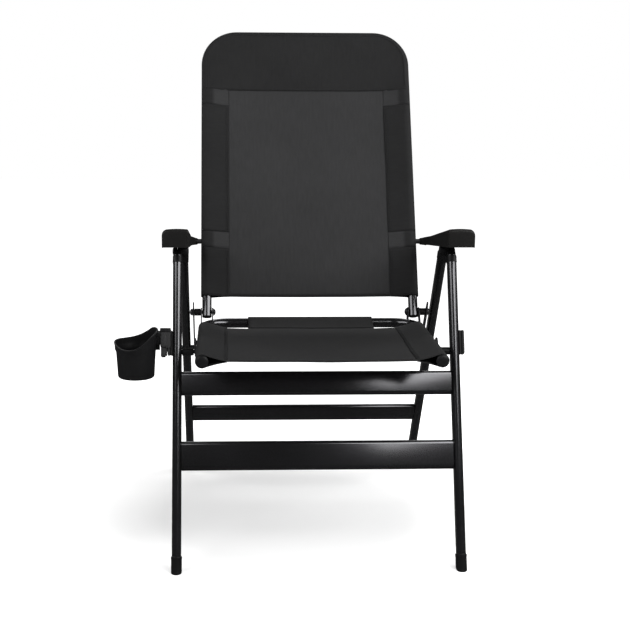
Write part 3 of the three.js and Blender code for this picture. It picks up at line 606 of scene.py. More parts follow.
def arm_core():
    """Solid rear end of the arm rest round its pivot, and ribs across the hollow."""
    ceiling = [(y, z - ARM_WALL - 0.5) for y, z in ARM_TOP]
    lane = (ARM_X[0] + 2, ARM_X[1] - 2)
    rear = [(156, on_line(ARM_BOTTOM, 156) + 1), (193, on_line(ARM_BOTTOM, 193) + 2)]
    rear += [(196, on_line(ceiling, 196) - 6), (190, on_line(ceiling, 190)), (156, on_line(ceiling, 156))]
    shapes = [plate(rounded(rear, 2.0), lane, 0.6)]
    boss = [(ARM_X[0] - 11, 6.9), (ARM_X[0] - 10.4, 7.5), (ARM_X[0] - 5, 8.2), (ARM_X[0] + 4, 9.4)]
    shapes.append(turned(ARM_PIVOT, boss))
    for y in ARM_RIBS:
        rib = [(y, on_line(ARM_BOTTOM, y) + 4), (y + 2, on_line(ARM_BOTTOM, y) + 4)]
        rib += [(y + 2, on_line(ceiling, y)), (y, on_line(ceiling, y))]
        shapes.append(plate(rib, lane, 0.2))
    return merged(*shapes)


# The rack's span is measured from the arm's pivot; its heights are the teeth, the notches and the top.
RACK_SPAN = (160.0, 264.0)
RACK_HEIGHTS = (-7.5, -2.5, 7.2)
RACK_SLOPE = radians(9.19)
RACK_TOOTH = 12.0


def armrest_rack():
    """Toothed bar under the arm rest; u runs forward from the arm's pivot, v up from it."""

    def at(u, v):
        y = ARM_PIVOT[0] - u * cos(RACK_SLOPE) + v * sin(RACK_SLOPE)
        return (y, ARM_PIVOT[1] + u * sin(RACK_SLOPE) + v * cos(RACK_SLOPE))

    low, notch, top = RACK_HEIGHTS
    outline = [at(RACK_SPAN[0], top), at(RACK_SPAN[1], top)]
    u = RACK_SPAN[1]
    while u > RACK_SPAN[0] + 1:
        outline += [at(u, low), at(u - 3, low), at(u - 5, notch), at(u - RACK_TOOTH + 1, notch)]
        u -= RACK_TOOTH
    return plate(rounded(outline, 0.8, 2), RACK_X)


def build_arms():
    shell = loft([arm_section(y) for y in arm_stations()], round_rings=False)
    for obj in pair("armrest", shell):
        thicken(obj, ARM_WALL, -1.0)
    core = arm_core()
    for side, shape in (("right", core), ("left", mirrored(core))):
        add_piece(f"arm_core_{side}", shape, f"arm_{side}", "arm_plastic")
    pair("armrest_rack", armrest_rack())


# ---------------- accessory brackets and cup holder

RAIL_OUT = 10.7
RAIL_W = (FRONT.up(414.7), FRONT.up(462.7))
CLIP_OUT = RAIL_OUT + 14.0


def beside_leg(*plates):
    """Plates beside the front leg, each given as its range of d, its range of w, the radius of its
    corners, its range outwards from the leg and the rounding of its edges."""
    made = []
    for across, along, corner, out, edge in plates:
        outline = [FRONT.at(d, w) for d, w in box_outline(*across, *along, corner)]
        made.append(plate(outline, (FRONT.outer + out[0], FRONT.outer + out[1]), edge))
    return merged(*made)


def accessory_bracket():
    low, high = RAIL_W
    return beside_leg(
        ((-9, 9), (low, high), 3, (0.0, 2.5), 0.8),
        ((-6, 6), (low + 0.5, high - 0.5), 1, (2.0, 6.0), 0.1),
        ((-12, 12), (low, high), 6, (5.5, 9.9), 1.6),
        ((-7.5, 7.5), (low + 7, high - 10), 4, (9.0, RAIL_OUT), 0.7),
    )


def cup_clip():
    """A channel that slides down over the rail, with a tongue below."""
    low, high = RAIL_W[0], RAIL_W[1] + 4
    shoulder = low + 14
    side = (shoulder, high - 2)
    return beside_leg(
        ((-16, 16), (shoulder + 2, high - 3.4), 4, (11.3, CLIP_OUT), 2.2),
        ((-16, -12.6), side, 1, (3.5, 13.0), 0.6),
        ((12.6, 16), side, 1, (3.5, 13.0), 0.6),
        ((-16, -6.6), side, 1, (3.5, 4.9), 0.4),
        ((6.6, 16), side, 1, (3.5, 4.9), 0.4),
        ((-16, 16), (high - 3.4, high), 1.5, (3.5, CLIP_OUT), 0.8),
        ((-12, 12), (low - 3, shoulder + 3), 4, (14.7, CLIP_OUT - 1), 1.4),
        ((-12, 12), (low, shoulder + 3), 3, (11.5, 15.4), 0.8),
    )


# The radii are at the floor and at the full height; the collar is its height and how far it flares.
CUP_X = 376.0
CUP_FLOOR = 367.0
CUP_HEIGHT = 104.0
CUP_RADII = (37.8, 44.0)
CUP_COLLAR = (58.0, 2.2)
CUP_WALL = 2.6
CUP_TILT = radians(8)
CUP_Y = FRONT.at(0.0, sum(RAIL_W) / 2)[0]
RIM_CURVE = [((-70, 90), (-12, 52), (28, 92)), ((28, 92), (36, 102), (60, 101))]


def rim_line():
    """The rim seen from the front, as [X, height above the cup's floor]."""
    points = []
    for a, b, c in RIM_CURVE:
        for t in divided(0.0, 1.0, 24):
            points.append([a[i] * (1 - t) ** 2 + b[i] * 2 * t * (1 - t) + c[i] * t ** 2 for i in (0, 1)])
    return np.array(points)


def rim_height(angle, line):
    x = CUP_RADII[1] * cos(angle)
    y = CUP_RADII[1] * sin(angle)
    height = float(np.interp(x, line[:, 0], line[:, 1])) + y * tan(CUP_TILT)
    return min(height, CUP_HEIGHT)


def cup_radius(height):
    flare = min(1.0, max(0.0, (height - CUP_COLLAR[0]) / 3.0)) * CUP_COLLAR[1]
    return CUP_RADII[0] + (CUP_RADII[1] - CUP_RADII[0]) * height / CUP_HEIGHT + flare


def cup():
    line = rim_line()
    angles = turn(96)
    rims = [rim_height(a, line) for a in angles]

    def ring(height_of, inwards):
        points = []
        for a, rim in zip(angles, rims):
            h = height_of(rim)
            r = cup_radius(h) - inwards
            points.append((r * cos(a) - CUP_X, r * sin(a) + CUP_Y, h + CUP_FLOOR))
        return points

    def share(t, floor):
        return lambda rim: floor + (rim - 3.2 - floor) * t

    rings = [ring(lambda rim: 0.0, 5.0), ring(lambda rim: 0.5, 2.4), ring(lambda rim: 2.2, 0.5)]
    rings += [ring(share(t, 4.0), 0.0) for t in divided(0.0, 1.0, 12)]
    lip = [(-2.9, -0.2), (-2.6, -0.7), (-1.0, -0.8), (-0.2, -0.3), (0.0, 0.6), (-0.2, 1.9), (-1.0, 2.5)]
    rings += [ring(lambda rim, d=drop: rim + d, inwards) for drop, inwards in lip]
    rings += [ring(share(t, 6.0), CUP_WALL) for t in divided(1.0, 0.0, 12)]
    rings += [ring(lambda rim: 3.6, CUP_WALL + 0.9), ring(lambda rim: CUP_WALL, CUP_WALL + 3.5)]
    return loft(rings)


def neck_bridge():
    """The bar of the neck that grips the clip, open where the rail of the bracket slides in."""
    low, high = RAIL_W[1] - 4.5, RAIL_W[1] + 4.6
    side, cheek = (low + 0.2, high - 0.2), (3.2, CLIP_OUT + 0.4)
    return beside_leg(
        ((-17, 17), (low, high), 2, (RAIL_OUT + GAP, CLIP_OUT + 0.8), 1.2),
        ((-16.8, 16.8), (RAIL_W[1] + GAP, high - GAP), 1.5, (3.4, CLIP_OUT), 0.8),
        ((-16.9, -12.4), side, 1, cheek, 0.8),
        ((12.4, 16.9), side, 1, cheek, 0.8),
    )


def cup_neck():
    start = 36.5 - CUP_X
    end = -(FRONT.outer + CLIP_OUT - 0.5)
    lower = box_outline(CUP_Y - 9, CUP_Y + 9, 437, 457, 3)
    upper = box_outline(CUP_Y - 12, CUP_Y + 12, 454, 464, 3)
    rib = box_outline(CUP_Y - 2, CUP_Y + 2, 425, 440, 1)
    return merged(
        mirrored(neck_bridge()),
        plate(lower, (start + 2, end), 1.2),
        plate(upper, (start + 4.6, end), 1.2),
        plate(rib, (start + 2, end - 2)),
    )


def build_cup_holder():
    pair("accessory_bracket", accessory_bracket())
    one("cup_clip", mirrored(cup_clip()))
    one("cup", cup())
    one("cup_neck", cup_neck())


# ---------------- slings

CLOTH = 1.1
WEAVE_UV = "weave"
SHADE_ATTRIBUTE = "layers"


class Cloth:
    """A sewn sheet made of strips; each point has a place, a cloth coordinate and a painted shade, a darker
    tone where the cloth is double or over a tube, in place of the light that shows through a single layer.
    """

    def __init__(self):
        self.points = []
        self.coordinates = []
        self.layers = []
        self.faces = []

    def strip(self, rows, coordinates, layers, keep=None):
        """Add rows of points; the painted shade is one number, or a list with one for each column."""
        start = len(self.points)
        width = len(rows[0])
        for row, row_coordinates in zip(rows, coordinates):
            self.points += row
            self.coordinates += row_coordinates
            self.layers += layers if isinstance(layers, list) else [layers] * width
        for j in range(len(rows) - 1):
            for i in range(width - 1):
                if keep is None or keep(j, i):
                    a = start + j * width + i
                    self.faces.append((a, a + 1, a + 1 + width, a + width))

    def panel(self, place, xs, stations, layers, keep=None):
        """Add a grid of place(x, station), whose cloth coordinates are x and the station."""
        rows = [[place(x, t) for x in xs] for t in stations]
        self.strip(rows, [[(x * MM, t * MM) for x in xs] for t in stations], layers, keep)


def sleeve_loop(radius):
    """Section of a tunnel: [inward distance from the tube's centre, height] from the front seam,
    round the tube and back to the rear seam."""
    touch = acos(radius / SLEEVE_REACH)
    start = (radius * cos(touch), radius * sin(touch))
    front = [(SLEEVE_REACH + 1.5, 1.0), (SLEEVE_REACH, 1.2)]
    for t in divided(0.0, 1.0, 6)[1:-1]:
        sag = 0.9 * sin(pi * t)
        front.append((SLEEVE_REACH + (start[0] - SLEEVE_REACH) * t, 1.0 + (start[1] - 1.0) * t - sag))
    arc = divided(touch, 2 * pi - touch, 20)
    around = [(radius * cos(a), radius * sin(a)) for a in arc]
    return front + around + [(d, -h) for d, h in reversed(front)]


def along_lengths(points):
    """How far along the line through them each of the points is."""
    lengths = [0.0]
    for a, b in zip(points, points[1:]):
        lengths.append(lengths[-1] + dist(a, b))
    return lengths


def ripple(along, across, size):
    """Slight waviness of a sewn edge."""
    wave = sin(along / 31.0) + 0.6 * sin(along / 13.0 + 1.3 + across) + 0.4 * sin(along / 57.0)
    return size * wave / 2


def sewn_tunnel(cloth, loop, stations, place, phase, layers=1.0):
    """A tunnel along stations; place(inward, height, station) gives the point; unless told otherwise its
    cloth is painted in the darker colour, painted shade of a double layer.
    """
    rows = []
    for s in stations:
        row = []
        for inward, height in loop:
            seam = inward / loop[0][0]
            loose = ripple(s, phase, 0.5) * max(0.0, seam - 0.3)
            row.append(place(inward + loose * 1.6, height + loose * 0.5, s))
        rows.append(row)
    lengths = along_lengths(loop)
    cloth.strip(rows, [[(s * MM, length * MM) for length in lengths] for s in stations], layers)


SEAT_SAG = 5.0
BACK_SAG = 7.0


def seat_sag(x, y):
    across = 1 - (x / (SEAT_RAIL_X - SEAT_TUBE)) ** 2
    middle = (SEAT_FRONT_Y + SEAT_BOW_Y) / 2
    reach = (SEAT_BOW_Y - SEAT_FRONT_Y) / 2
    along = 1 - ((y - middle) / reach) ** 2 * 0.6
    wrinkle = 0.35 * sin(x / 47.0 + y / 29.0) + 0.25 * sin(x / 21.0 - y / 63.0)
    return -SEAT_SAG * across * max(0.0, along) + wrinkle * across


def back_sag(x, up):
    across = 1 - (x / (BACK_RAIL_X - BACK_TUBE)) ** 2
    rise = min(1.0, (BACK_HEIGHT - up) / 200)
    wrinkle = 0.4 * sin(x / 53.0 + up / 37.0) + 0.25 * sin(x / 19.0 - up / 71.0)
    return -BACK_SAG * across * rise + wrinkle * across


def seat_point(x, y, height=0.0, inward=SLEEVE_REACH):
    """A point of the seat's cloth; its sag fades from the seam to the centre of the tube."""
    sag = seat_sag(x, y) * max(0.0, inward / SLEEVE_REACH)
    return (x, y, SEAT_RAIL_Z + height + sag)


def back_point(x, up, height=0.0, inward=SLEEVE_REACH):
    """A point of the back's cloth; its sag fades from the seam to the centre of the tube."""
    sag = back_sag(x, up) * min(1.0, max(0.0, inward / SLEEVE_REACH))
    return (x, *on_back(up, height + sag))


def seat_cloth():
    cloth = Cloth()
    front = SEAT_FRONT_Y + 2
    loop = sleeve_loop(SEAT_TUBE + SLEEVE_EXTRA)
    tunnel = along_lengths(loop)[-1]
    inner = SEAT_RAIL_X - SLEEVE_REACH
    bow_end = SEAT_BOW_Y - SLEEVE_REACH + 2
    xs = spaced(-inner - 3, -BOW_SLEEVE_HALF, 6) + spaced(-BOW_SLEEVE_HALF, BOW_SLEEVE_HALF, 8)[1:-1]
    xs += spaced(BOW_SLEEVE_HALF, inner + 3, 6)
    ys = spaced(front, SEAT_SLEEVE_END, 8) + spaced(SEAT_SLEEVE_END, bow_end, 4)[1:]

    def keep(j, i):
        return ys[j] < SEAT_SLEEVE_END - 0.1 or abs(xs[i] + xs[i + 1]) / 2 < BOW_SLEEVE_HALF

    def behind(inward, height, x):
        return seat_point(x, SEAT_BOW_Y - inward, height, inward)

    cloth.panel(seat_point, xs, ys, 0.0, keep)
    for side in (1, -1):
        def beside(inward, height, y, side=side):
            return seat_point(side * (SEAT_RAIL_X - inward), y, height, inward)
        sewn_tunnel(cloth, loop, spaced(front, SEAT_SLEEVE_END, 7), beside, side)
    sewn_tunnel(cloth, loop, spaced(-BOW_SLEEVE_HALF, BOW_SLEEVE_HALF, 8), behind, 0.0)
    # The hem along the front edge is painted part-way to the darker colour, as painted shade.
    cloth.panel(lambda x, y: seat_point(x, y, 1.1), xs, [front, front + 4, front + 9], 0.6)
    width = 2 * inner + 2 * tunnel
    length = SEAT_SLEEVE_END - front + tunnel
    area = width * (SEAT_SLEEVE_END - front) + 2 * BOW_SLEEVE_HALF * tunnel
    return cloth, (width * MM, length * MM), area * MM * MM


RELAXING_ROUNDS = 400


def relaxed(heights):
    """Heights of a stretched skin whose edge values are given."""
    for _ in range(RELAXING_ROUNDS):
        middle = (heights[:-2, 1:-1] + heights[2:, 1:-1] + heights[1:-1, :-2] + heights[1:-1, 2:]) / 4
        heights[1:-1, 1:-1] = middle
    return heights


def pocket_half_width(up):
    """Half the width between the tube centres of the back at that height."""
    over = max(0.0, up - (BACK_HEIGHT - BACK_BEND))
    return BACK_RAIL_X - BACK_BEND + sqrt(max(0.0, BACK_BEND ** 2 - over ** 2))


def front_profile(x):
    """Height of the front layer above the middle plane, from the seam up to the tube."""
    radius = BACK_TUBE + SLEEVE_EXTRA
    inward = BACK_RAIL_X - abs(x)
    touch = radius * radius / SLEEVE_REACH
    if inward < touch:
        return sqrt(max(0.0, radius ** 2 - inward ** 2))
    rise = sqrt(radius ** 2 - touch ** 2)
    return max(1.0, rise * (SLEEVE_REACH - inward) / (SLEEVE_REACH - touch))


def top_pocket(cloth):
    """Double layer over the bow: a front and a rear skin and the turn round the tube."""
    radius = BACK_TUBE + SLEEVE_EXTRA
    bend = BACK_HEIGHT - BACK_BEND
    ups = spaced(POCKET_START, bend, 6) + [bend + BACK_BEND * sin(a) for a in quarter(16)]
    shares = [sin(pi / 2 * t) for t in spaced(-1.0, 1.0, 1 / 28)]
    edge = np.zeros((len(ups), len(shares)))
    edge[:, 0] = edge[:, -1] = radius
    edge[-1, :] = radius
    edge[0, :] = [front_profile(s * BACK_RAIL_X) for s in shares]
    heights = relaxed(edge)
    for face in (1, -1):
        rows, coordinates = [], []
        for up, line in zip(ups, heights):
            half = pocket_half_width(up)
            xs = [half * s for s in shares]
            outs = [face * (max(1.0, h) + ripple(x * 1.3 + up, face, 0.25)) for x, h in zip(xs, line)]
            rows.append([back_point(x, up, out, half - abs(x)) for x, out in zip(xs, outs)])
            coordinates.append([(x * MM, up * MM) for x in xs])
        # Both skins are painted in the darker colour, painted shade of the double layer.
        cloth.strip(rows, coordinates, 1.0)
    wrap_bow(cloth, radius, ups)


def wrap_bow(cloth, radius, ups):
    """The turn of the pocket round the outside of the bow."""
    bend_x, bend_up = BACK_RAIL_X - BACK_BEND, BACK_HEIGHT - BACK_BEND
    sides = [(BACK_RAIL_X, up, 0.0) for up in ups if up <= bend_up]
    for a in quarter(16):
        sides.append((bend_x + BACK_BEND * cos(a), bend_up + BACK_BEND * sin(a), a))
    others = [(-x, up, pi - a) for x, up, a in reversed(sides)]
    middle = [(x, BACK_HEIGHT, pi / 2) for x in spaced(-bend_x, bend_x, 10)[1:-1]][::-1]
    path = sides + middle + others
    lengths = along_lengths([(x, up) for x, up, _ in path])
    angles = divided(pi / 2, -pi / 2, 12)
    rows, coordinates = [], []
    for (x, up, direction), length in zip(path, lengths):
        row = []
        for a in angles:
            reach = radius * cos(a)
            place = on_back(up + reach * sin(direction), radius * sin(a))
            row.append((x + reach * cos(direction), *place))
        rows.append(row)
        coordinates.append([(length * MM, radius * (a + pi) * MM) for a in angles])
    # The turn is painted in the darker colour, painted shade of the double layer.
    cloth.strip(rows, coordinates, 1.0)


def back_cloth():
    cloth = Cloth()
    radius = BACK_TUBE + SLEEVE_EXTRA
    loop = sleeve_loop(radius)
    tunnel = along_lengths(loop)[-1]
    inner = BACK_RAIL_X - SLEEVE_REACH
    xs = spaced(-inner - 3, inner + 3, 8)
    ups = spaced(BACK_SLING_START, ARM_CUTOUT[0], 8)
    ups += spaced(*ARM_CUTOUT, 8)[1:]
    ups += spaced(ARM_CUTOUT[1], SIDE_SLEEVE_TOP, 9)[1:]
    ups += spaced(SIDE_SLEEVE_TOP, POCKET_START + PANEL_TUCK, 7)[1:]
    cloth.panel(back_point, xs, ups, 0.0)
    front_only = loop[:loop.index(min(loop)) + 4]
    # Painted shade over the tube: the single front sheet is painted in the darker colour where the dark tube
    # lies behind it.
    shade_over_tube = [1.0 if inward < BACK_TUBE + 1 else 0.0 for inward, _ in front_only]
    for side in (1, -1):
        def beside(inward, height, up, side=side):
            return back_point(side * (BACK_RAIL_X - inward), up, height, inward)
        for low, high in SIDE_SLEEVES:
            sewn_tunnel(cloth, loop, spaced(low, high, 7), beside, side)
        for low, high in (ARM_CUTOUT, (SIDE_SLEEVE_TOP, POCKET_START + 2)):
            sewn_tunnel(cloth, front_only, spaced(low - 1, high + 1, 7), beside, side, shade_over_tube)
    top_pocket(cloth)
    # The hem is painted in the darker colour, painted shade of its fold.
    hem = [BACK_SLING_START, BACK_SLING_START + 3, BACK_SLING_START + 7]
    cloth.panel(lambda x, up: back_point(x, up, 1.2), xs, hem, 1.0)
    panel, pocket = POCKET_START - BACK_SLING_START, BACK_HEIGHT - POCKET_START
    width = 2 * inner + 2 * tunnel
    length = panel + 2 * pocket + pi * radius
    area = 2 * inner * panel + 2 * tunnel * sum(high - low for low, high in SIDE_SLEEVES)
    area += 2 * pocket * 2 * BACK_RAIL_X
    return cloth, (width * MM, length * MM), area * MM * MM


# Length of a stitch, distance from one to the next, radius of the thread and its lift off the cloth.
STITCH = 3.2
STITCH_PITCH = 4.4
THREAD = 0.55
STITCH_LIFT = 1.9


def stitches(path, out):
    """A row of short raised threads along a path; out is the direction they stand proud in."""
    shapes = []
    lengths = along_lengths(path)
    total = lengths[-1]
    table = np.array(path)
    place = STITCH_PITCH
    while place < total - STITCH_PITCH:
        ends = []
        for s in (place - STITCH / 2, place + STITCH / 2):
            ends.append(Vector([float(np.interp(s, lengths, table[:, i])) for i in range(3)]))
        along = (ends[1] - ends[0]).normalized()
        side = along.cross(out).normalized()
        rings = []
        for t, size in ((0.0, 0.25), (0.15, 0.8), (0.5, 1.0), (0.85, 0.8), (1.0, 0.25)):
            centre = ends[0].lerp(ends[1], t) + out * (THREAD * 0.8 * size)
            offsets = [side * cos(a) + out * sin(a) for a in turn(6)]
            rings.append([centre + o * THREAD * size for o in offsets])
        shapes.append(loft(rings))
        place += STITCH_PITCH
    return merged(*shapes)


def double_row(inner, side):
    """The two rows of stitches beside a sleeve, as [x, lift off the cloth]."""
    return [(side * (inner + shift), STITCH_LIFT + shift * 0.22) for shift in (1.0, 4.0)]


def back_stitching():
    inner = BACK_RAIL_X - SLEEVE_REACH
    paths = []
    for side in (1, -1):
        for low, high in SIDE_SLEEVES:
            for x, lift in double_row(inner, side):
                paths.append([back_point(x, up, lift) for up in spaced(low + 2, high - 2, 6)])
    across = spaced(-inner + 4, inner - 4, 8)
    # The pocket's row doesn't follow the sag of the cloth, so it stands off it in the middle.
    paths.append([(x, *on_back(POCKET_START + 2, STITCH_LIFT)) for x in across])
    paths.append([back_point(x, BACK_SLING_START + 4.5, STITCH_LIFT) for x in across])
    return merged(*[stitches(path, BACK_FRONT) for path in paths])


def seat_stitching():
    inner = SEAT_RAIL_X - SLEEVE_REACH
    paths = []
    for side in (1, -1):
        for x, lift in double_row(inner, side):
            stations = spaced(SEAT_FRONT_Y + 4, SEAT_SLEEVE_END - 2, 6)
            paths.append([seat_point(x, y, lift) for y in stations])
    bow_seam = SEAT_BOW_Y - SLEEVE_REACH - 1.5
    for y, half in ((SEAT_FRONT_Y + 7, inner - 4), (bow_seam, BOW_SLEEVE_HALF - 3)):
        paths.append([seat_point(x, y, STITCH_LIFT) for x in spaced(-half, half, 8)])
    return merged(*[stitches(path, Vector((0, 0, 1))) for path in paths])


def cloth_object(node, cloth):
    mesh = bpy.data.meshes.new(f"sewn_{node}")
    mesh.from_pydata([tuple(to_row(p)) for p in cloth.points], [], cloth.faces)
    mesh.polygons.foreach_set("use_smooth", [True] * len(mesh.polygons))
    layer = mesh.uv_layers.new(name=WEAVE_UV)
    for loop, uv in zip(mesh.loops, layer.data):
        uv.uv = cloth.coordinates[loop.vertex_index]
    # Painted shade of each point: darker where the cloth is double or over a tube, since less light shows
    # through the mesh there.
    attribute = mesh.attributes.new(SHADE_ATTRIBUTE, "FLOAT", "POINT")
    attribute.data.foreach_set("value", cloth.layers)
    obj = new_object(f"sewn_{node}", mesh)
    mesh.materials.append(LOOKS[SLOT_OF[node]])
    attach(obj, BODY_OF[node])
    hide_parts(node)
    thicken(obj, CLOTH, 0.0)
    return obj


def build_slings():
    """Both slings are one sheet each, sewn round their tube, with the stitching on top."""
    jobs = (
        ("seat_sling", seat_cloth, seat_stitching, "seat_frame"),
        ("back_sling", back_cloth, back_stitching, "back_frame"),
    )
    for node, make, sew, tube in jobs:
        cloth, flat, area = make()
        obj = cloth_object(node, cloth)
        thread = add_piece(f"{node}_stitching", sew(), BODY_OF[node], SLOT_OF[node], LOOKS["thread"])


# ---------------- materials

class Look:
    """A material; its methods add a node and give back the output."""

    def __init__(self, name, color, roughness, metallic=0.0):
        self.material = bpy.data.materials.new(name)
        self.material.use_nodes = True
        self.tree = self.material.node_tree
        self.shader = self.tree.nodes["Principled BSDF"]
        self.put("Base Color", (*color, 1))
        self.put("Roughness", roughness)
        self.put("Metallic", metallic)

    def feed(self, socket, value):
        """Link an output to a socket, or set the socket to a plain value."""
        if isinstance(value, bpy.types.NodeSocket):
            self.tree.links.new(value, socket)
        else:
            socket.default_value = value

    def put(self, name, value):
        self.feed(self.shader.inputs[name], value)

    def node(self, kind, inputs, **settings):
        made = self.tree.nodes.new(kind)
        for name, value in settings.items():
            setattr(made, name, value)
        for key, value in inputs.items():
            self.feed(made.inputs[key], value)
        return made

    def place(self):
        return self.node("ShaderNodeTexCoord", {}).outputs["Object"]

    def noise(self, place, scale, detail=4.0, rough=0.55, stretch=None):
        if stretch:
            place = self.node("ShaderNodeMapping", {"Scale": stretch, "Vector": place}).outputs["Vector"]
        inputs = {"Scale": scale, "Detail": detail, "Roughness": rough, "Vector": place}
        return self.node("ShaderNodeTexNoise", inputs).outputs["Fac"]

    def ranged(self, value, low, high, start=0.0, end=1.0):
        """The value brought from the range start to end into the range low to high."""
        inputs = {"Value": value, "From Min": start, "From Max": end, "To Min": low, "To Max": high}
        return self.node("ShaderNodeMapRange", inputs).outputs["Result"]

    def calc(self, operation, *values):
        return self.node("ShaderNodeMath", dict(enumerate(values)), operation=operation).outputs[0]

    def mixed(self, factor, first, second):
        made = self.node("ShaderNodeMix", {"Factor": factor}, data_type="RGBA")
        for name, value in (("A", first), ("B", second)):
            socket = next(s for s in made.inputs if s.name == name and s.type == "RGBA")
            self.feed(socket, (*value, 1) if isinstance(value, tuple) else value)
        return next(s for s in made.outputs if s.type == "RGBA")

    def scaled(self, color, factor):
        inputs = {0: color, "Scale": factor}
        return self.node("ShaderNodeVectorMath", inputs, operation="SCALE").outputs[0]

    def bump(self, height, strength, distance):
        inputs = {"Strength": strength, "Distance": distance, "Height": height}
        self.put("Normal", self.node("ShaderNodeBump", inputs).outputs["Normal"])


def anodised_look():
    """Drawn tube with a clear satin coat, faint clouds and a few scuffs."""
    look = Look("black_anodised_tube", (0.03, 0.03, 0.033), 0.3, 0.9)
    look.put("Coat Weight", 0.9)
    look.put("Coat Roughness", 0.19)
    place = look.place()
    cloudy = look.noise(place, 9.0, 3.0)
    drawn = look.noise(place, 1.0, 3.0, 0.6, (1400.0, 60.0, 60.0))
    speck = look.noise(place, 2600.0, 2.0)
    shade = look.ranged(cloudy, 0.0, 1.0, 0.3, 0.7)
    tone = look.mixed(shade, (0.027, 0.027, 0.029), (0.036, 0.036, 0.040))
    scuffs = look.ranged(look.noise(place, 42.0, 8.0, 0.7), 0.0, 0.5, 0.66, 0.75)
    look.put("Base Color", look.mixed(scuffs, tone, (0.075, 0.075, 0.078)))
    look.put("Roughness", look.calc("ADD", look.ranged(drawn, 0.16, 0.24), look.ranged(cloudy, -0.03, 0.04)))
    look.bump(look.calc("ADD", drawn, speck), 0.10, 0.00006)
    return look.material


def steel_look():
    """Powder coat with a fine orange peel, worn lighter in places."""
    look = Look("black_powder_coat", (0.028, 0.028, 0.03), 0.42, 0.55)
    place = look.place()
    peel = look.noise(place, 1500.0, 3.0)
    wear = look.ranged(look.noise(place, 120.0, 6.0, 0.7), 0.0, 0.7, 0.62, 0.74)
    look.put("Base Color", look.mixed(wear, (0.026, 0.026, 0.028), (0.11, 0.11, 0.112)))
    look.put("Roughness", look.ranged(peel, 0.34, 0.48))
    look.bump(peel, 0.25, 0.0001)
    return look.material


def moulded_look(name, dark, light, roughness, grain_scale, grain_strength):
    """Moulded plastic: fine spark-eroded grain and faint flow marks."""
    look = Look(name, dark, roughness)
    look.put("Specular IOR Level", 0.13)
    place = look.place()
    cells = look.node("ShaderNodeTexVoronoi", {"Scale": grain_scale, "Vector": place})
    grain = look.calc("ADD", cells.outputs["Distance"], look.noise(place, grain_scale * 1.7, 3.0))
    flow = look.noise(place, 14.0, 5.0, 0.6)
    tone = look.mixed(look.ranged(flow, 0.0, 1.0, 0.32, 0.68), dark, light)
    look.put("Base Color", look.scaled(tone, look.ranged(grain, 0.82, 1.16, 0.4, 1.3)))
    marks = look.ranged(flow, roughness - 0.06, roughness + 0.06)
    look.put("Roughness", look.calc("ADD", marks, look.ranged(grain, -0.04, 0.06, 0.3, 1.4)))
    look.bump(grain, grain_strength, 0.00012)
    return look.material


WEAVE_PITCH = 0.00155


def cloth_look(name, single, double_layer_shade):
    """Coated mesh: over-and-under yarns with painted shade in the holes and low spots of the weave, in one
    colour where it is a single layer and in a darker one, painted shade for the light that no longer shows
    through the mesh, where it is double or lies over a tube."""
    look = Look(name, single, 0.72)
    look.put("Specular IOR Level", 0.08)
    look.put("Sheen Weight", 0.02)
    look.put("Sheen Roughness", 0.5)
    coordinates = look.node("ShaderNodeUVMap", {}, uv_map=WEAVE_UV).outputs["UV"]
    split = look.node("ShaderNodeSeparateXYZ", {0: coordinates})
    angles = [look.calc("MULTIPLY", split.outputs[axis], pi / WEAVE_PITCH) for axis in ("X", "Y")]
    waves = [look.calc("SINE", angle) for angle in angles]
    over = look.calc("GREATER_THAN", look.calc("MULTIPLY", *waves), 0.0)
    sizes = [look.calc("ABSOLUTE", wave) for wave in waves]
    crossing = look.calc("MULTIPLY", over, look.calc("SUBTRACT", *sizes))
    height = look.calc("ADD", sizes[1], crossing)
    hole = look.calc("SUBTRACT", 1.0, look.calc("MAXIMUM", *sizes))
    layers = look.node("ShaderNodeAttribute", {}, attribute_name=SHADE_ATTRIBUTE).outputs["Fac"]
    cloudy = look.noise(look.place(), 4.5, 4.0, 0.5)
    slub = look.noise(coordinates, 1.0, 3.0, 0.6, (220.0, 30.0, 1.0))
    clouds = look.ranged(cloudy, 0.9, 1.1, 0.3, 0.7)
    tone_and_weave_shade = look.calc("ADD", clouds, look.ranged(slub, -0.08, 0.08, 0.3, 0.7))
    # Painted shade in the weave: darker in its low spots, lighter on the crossings and much darker in the
    # holes between the yarns; the clouds and slubs above are the yarn's own tone.
    tone_and_weave_shade = look.calc("MULTIPLY", tone_and_weave_shade, look.ranged(height, 0.82, 1.12))
    tone_and_weave_shade = look.calc("MULTIPLY", tone_and_weave_shade, look.ranged(hole, 1.0, 0.35, 0.25, 0.9))
    # Painted shade: the darker double-layer colour stands in for the light that a single layer lets through.
    look.put("Base Color", look.scaled(look.mixed(layers, single, double_layer_shade), tone_and_weave_shade))
    look.put("Roughness", look.ranged(height, 0.62, 0.8))
    look.bump(height, 0.35, 0.0003)
    return look.material


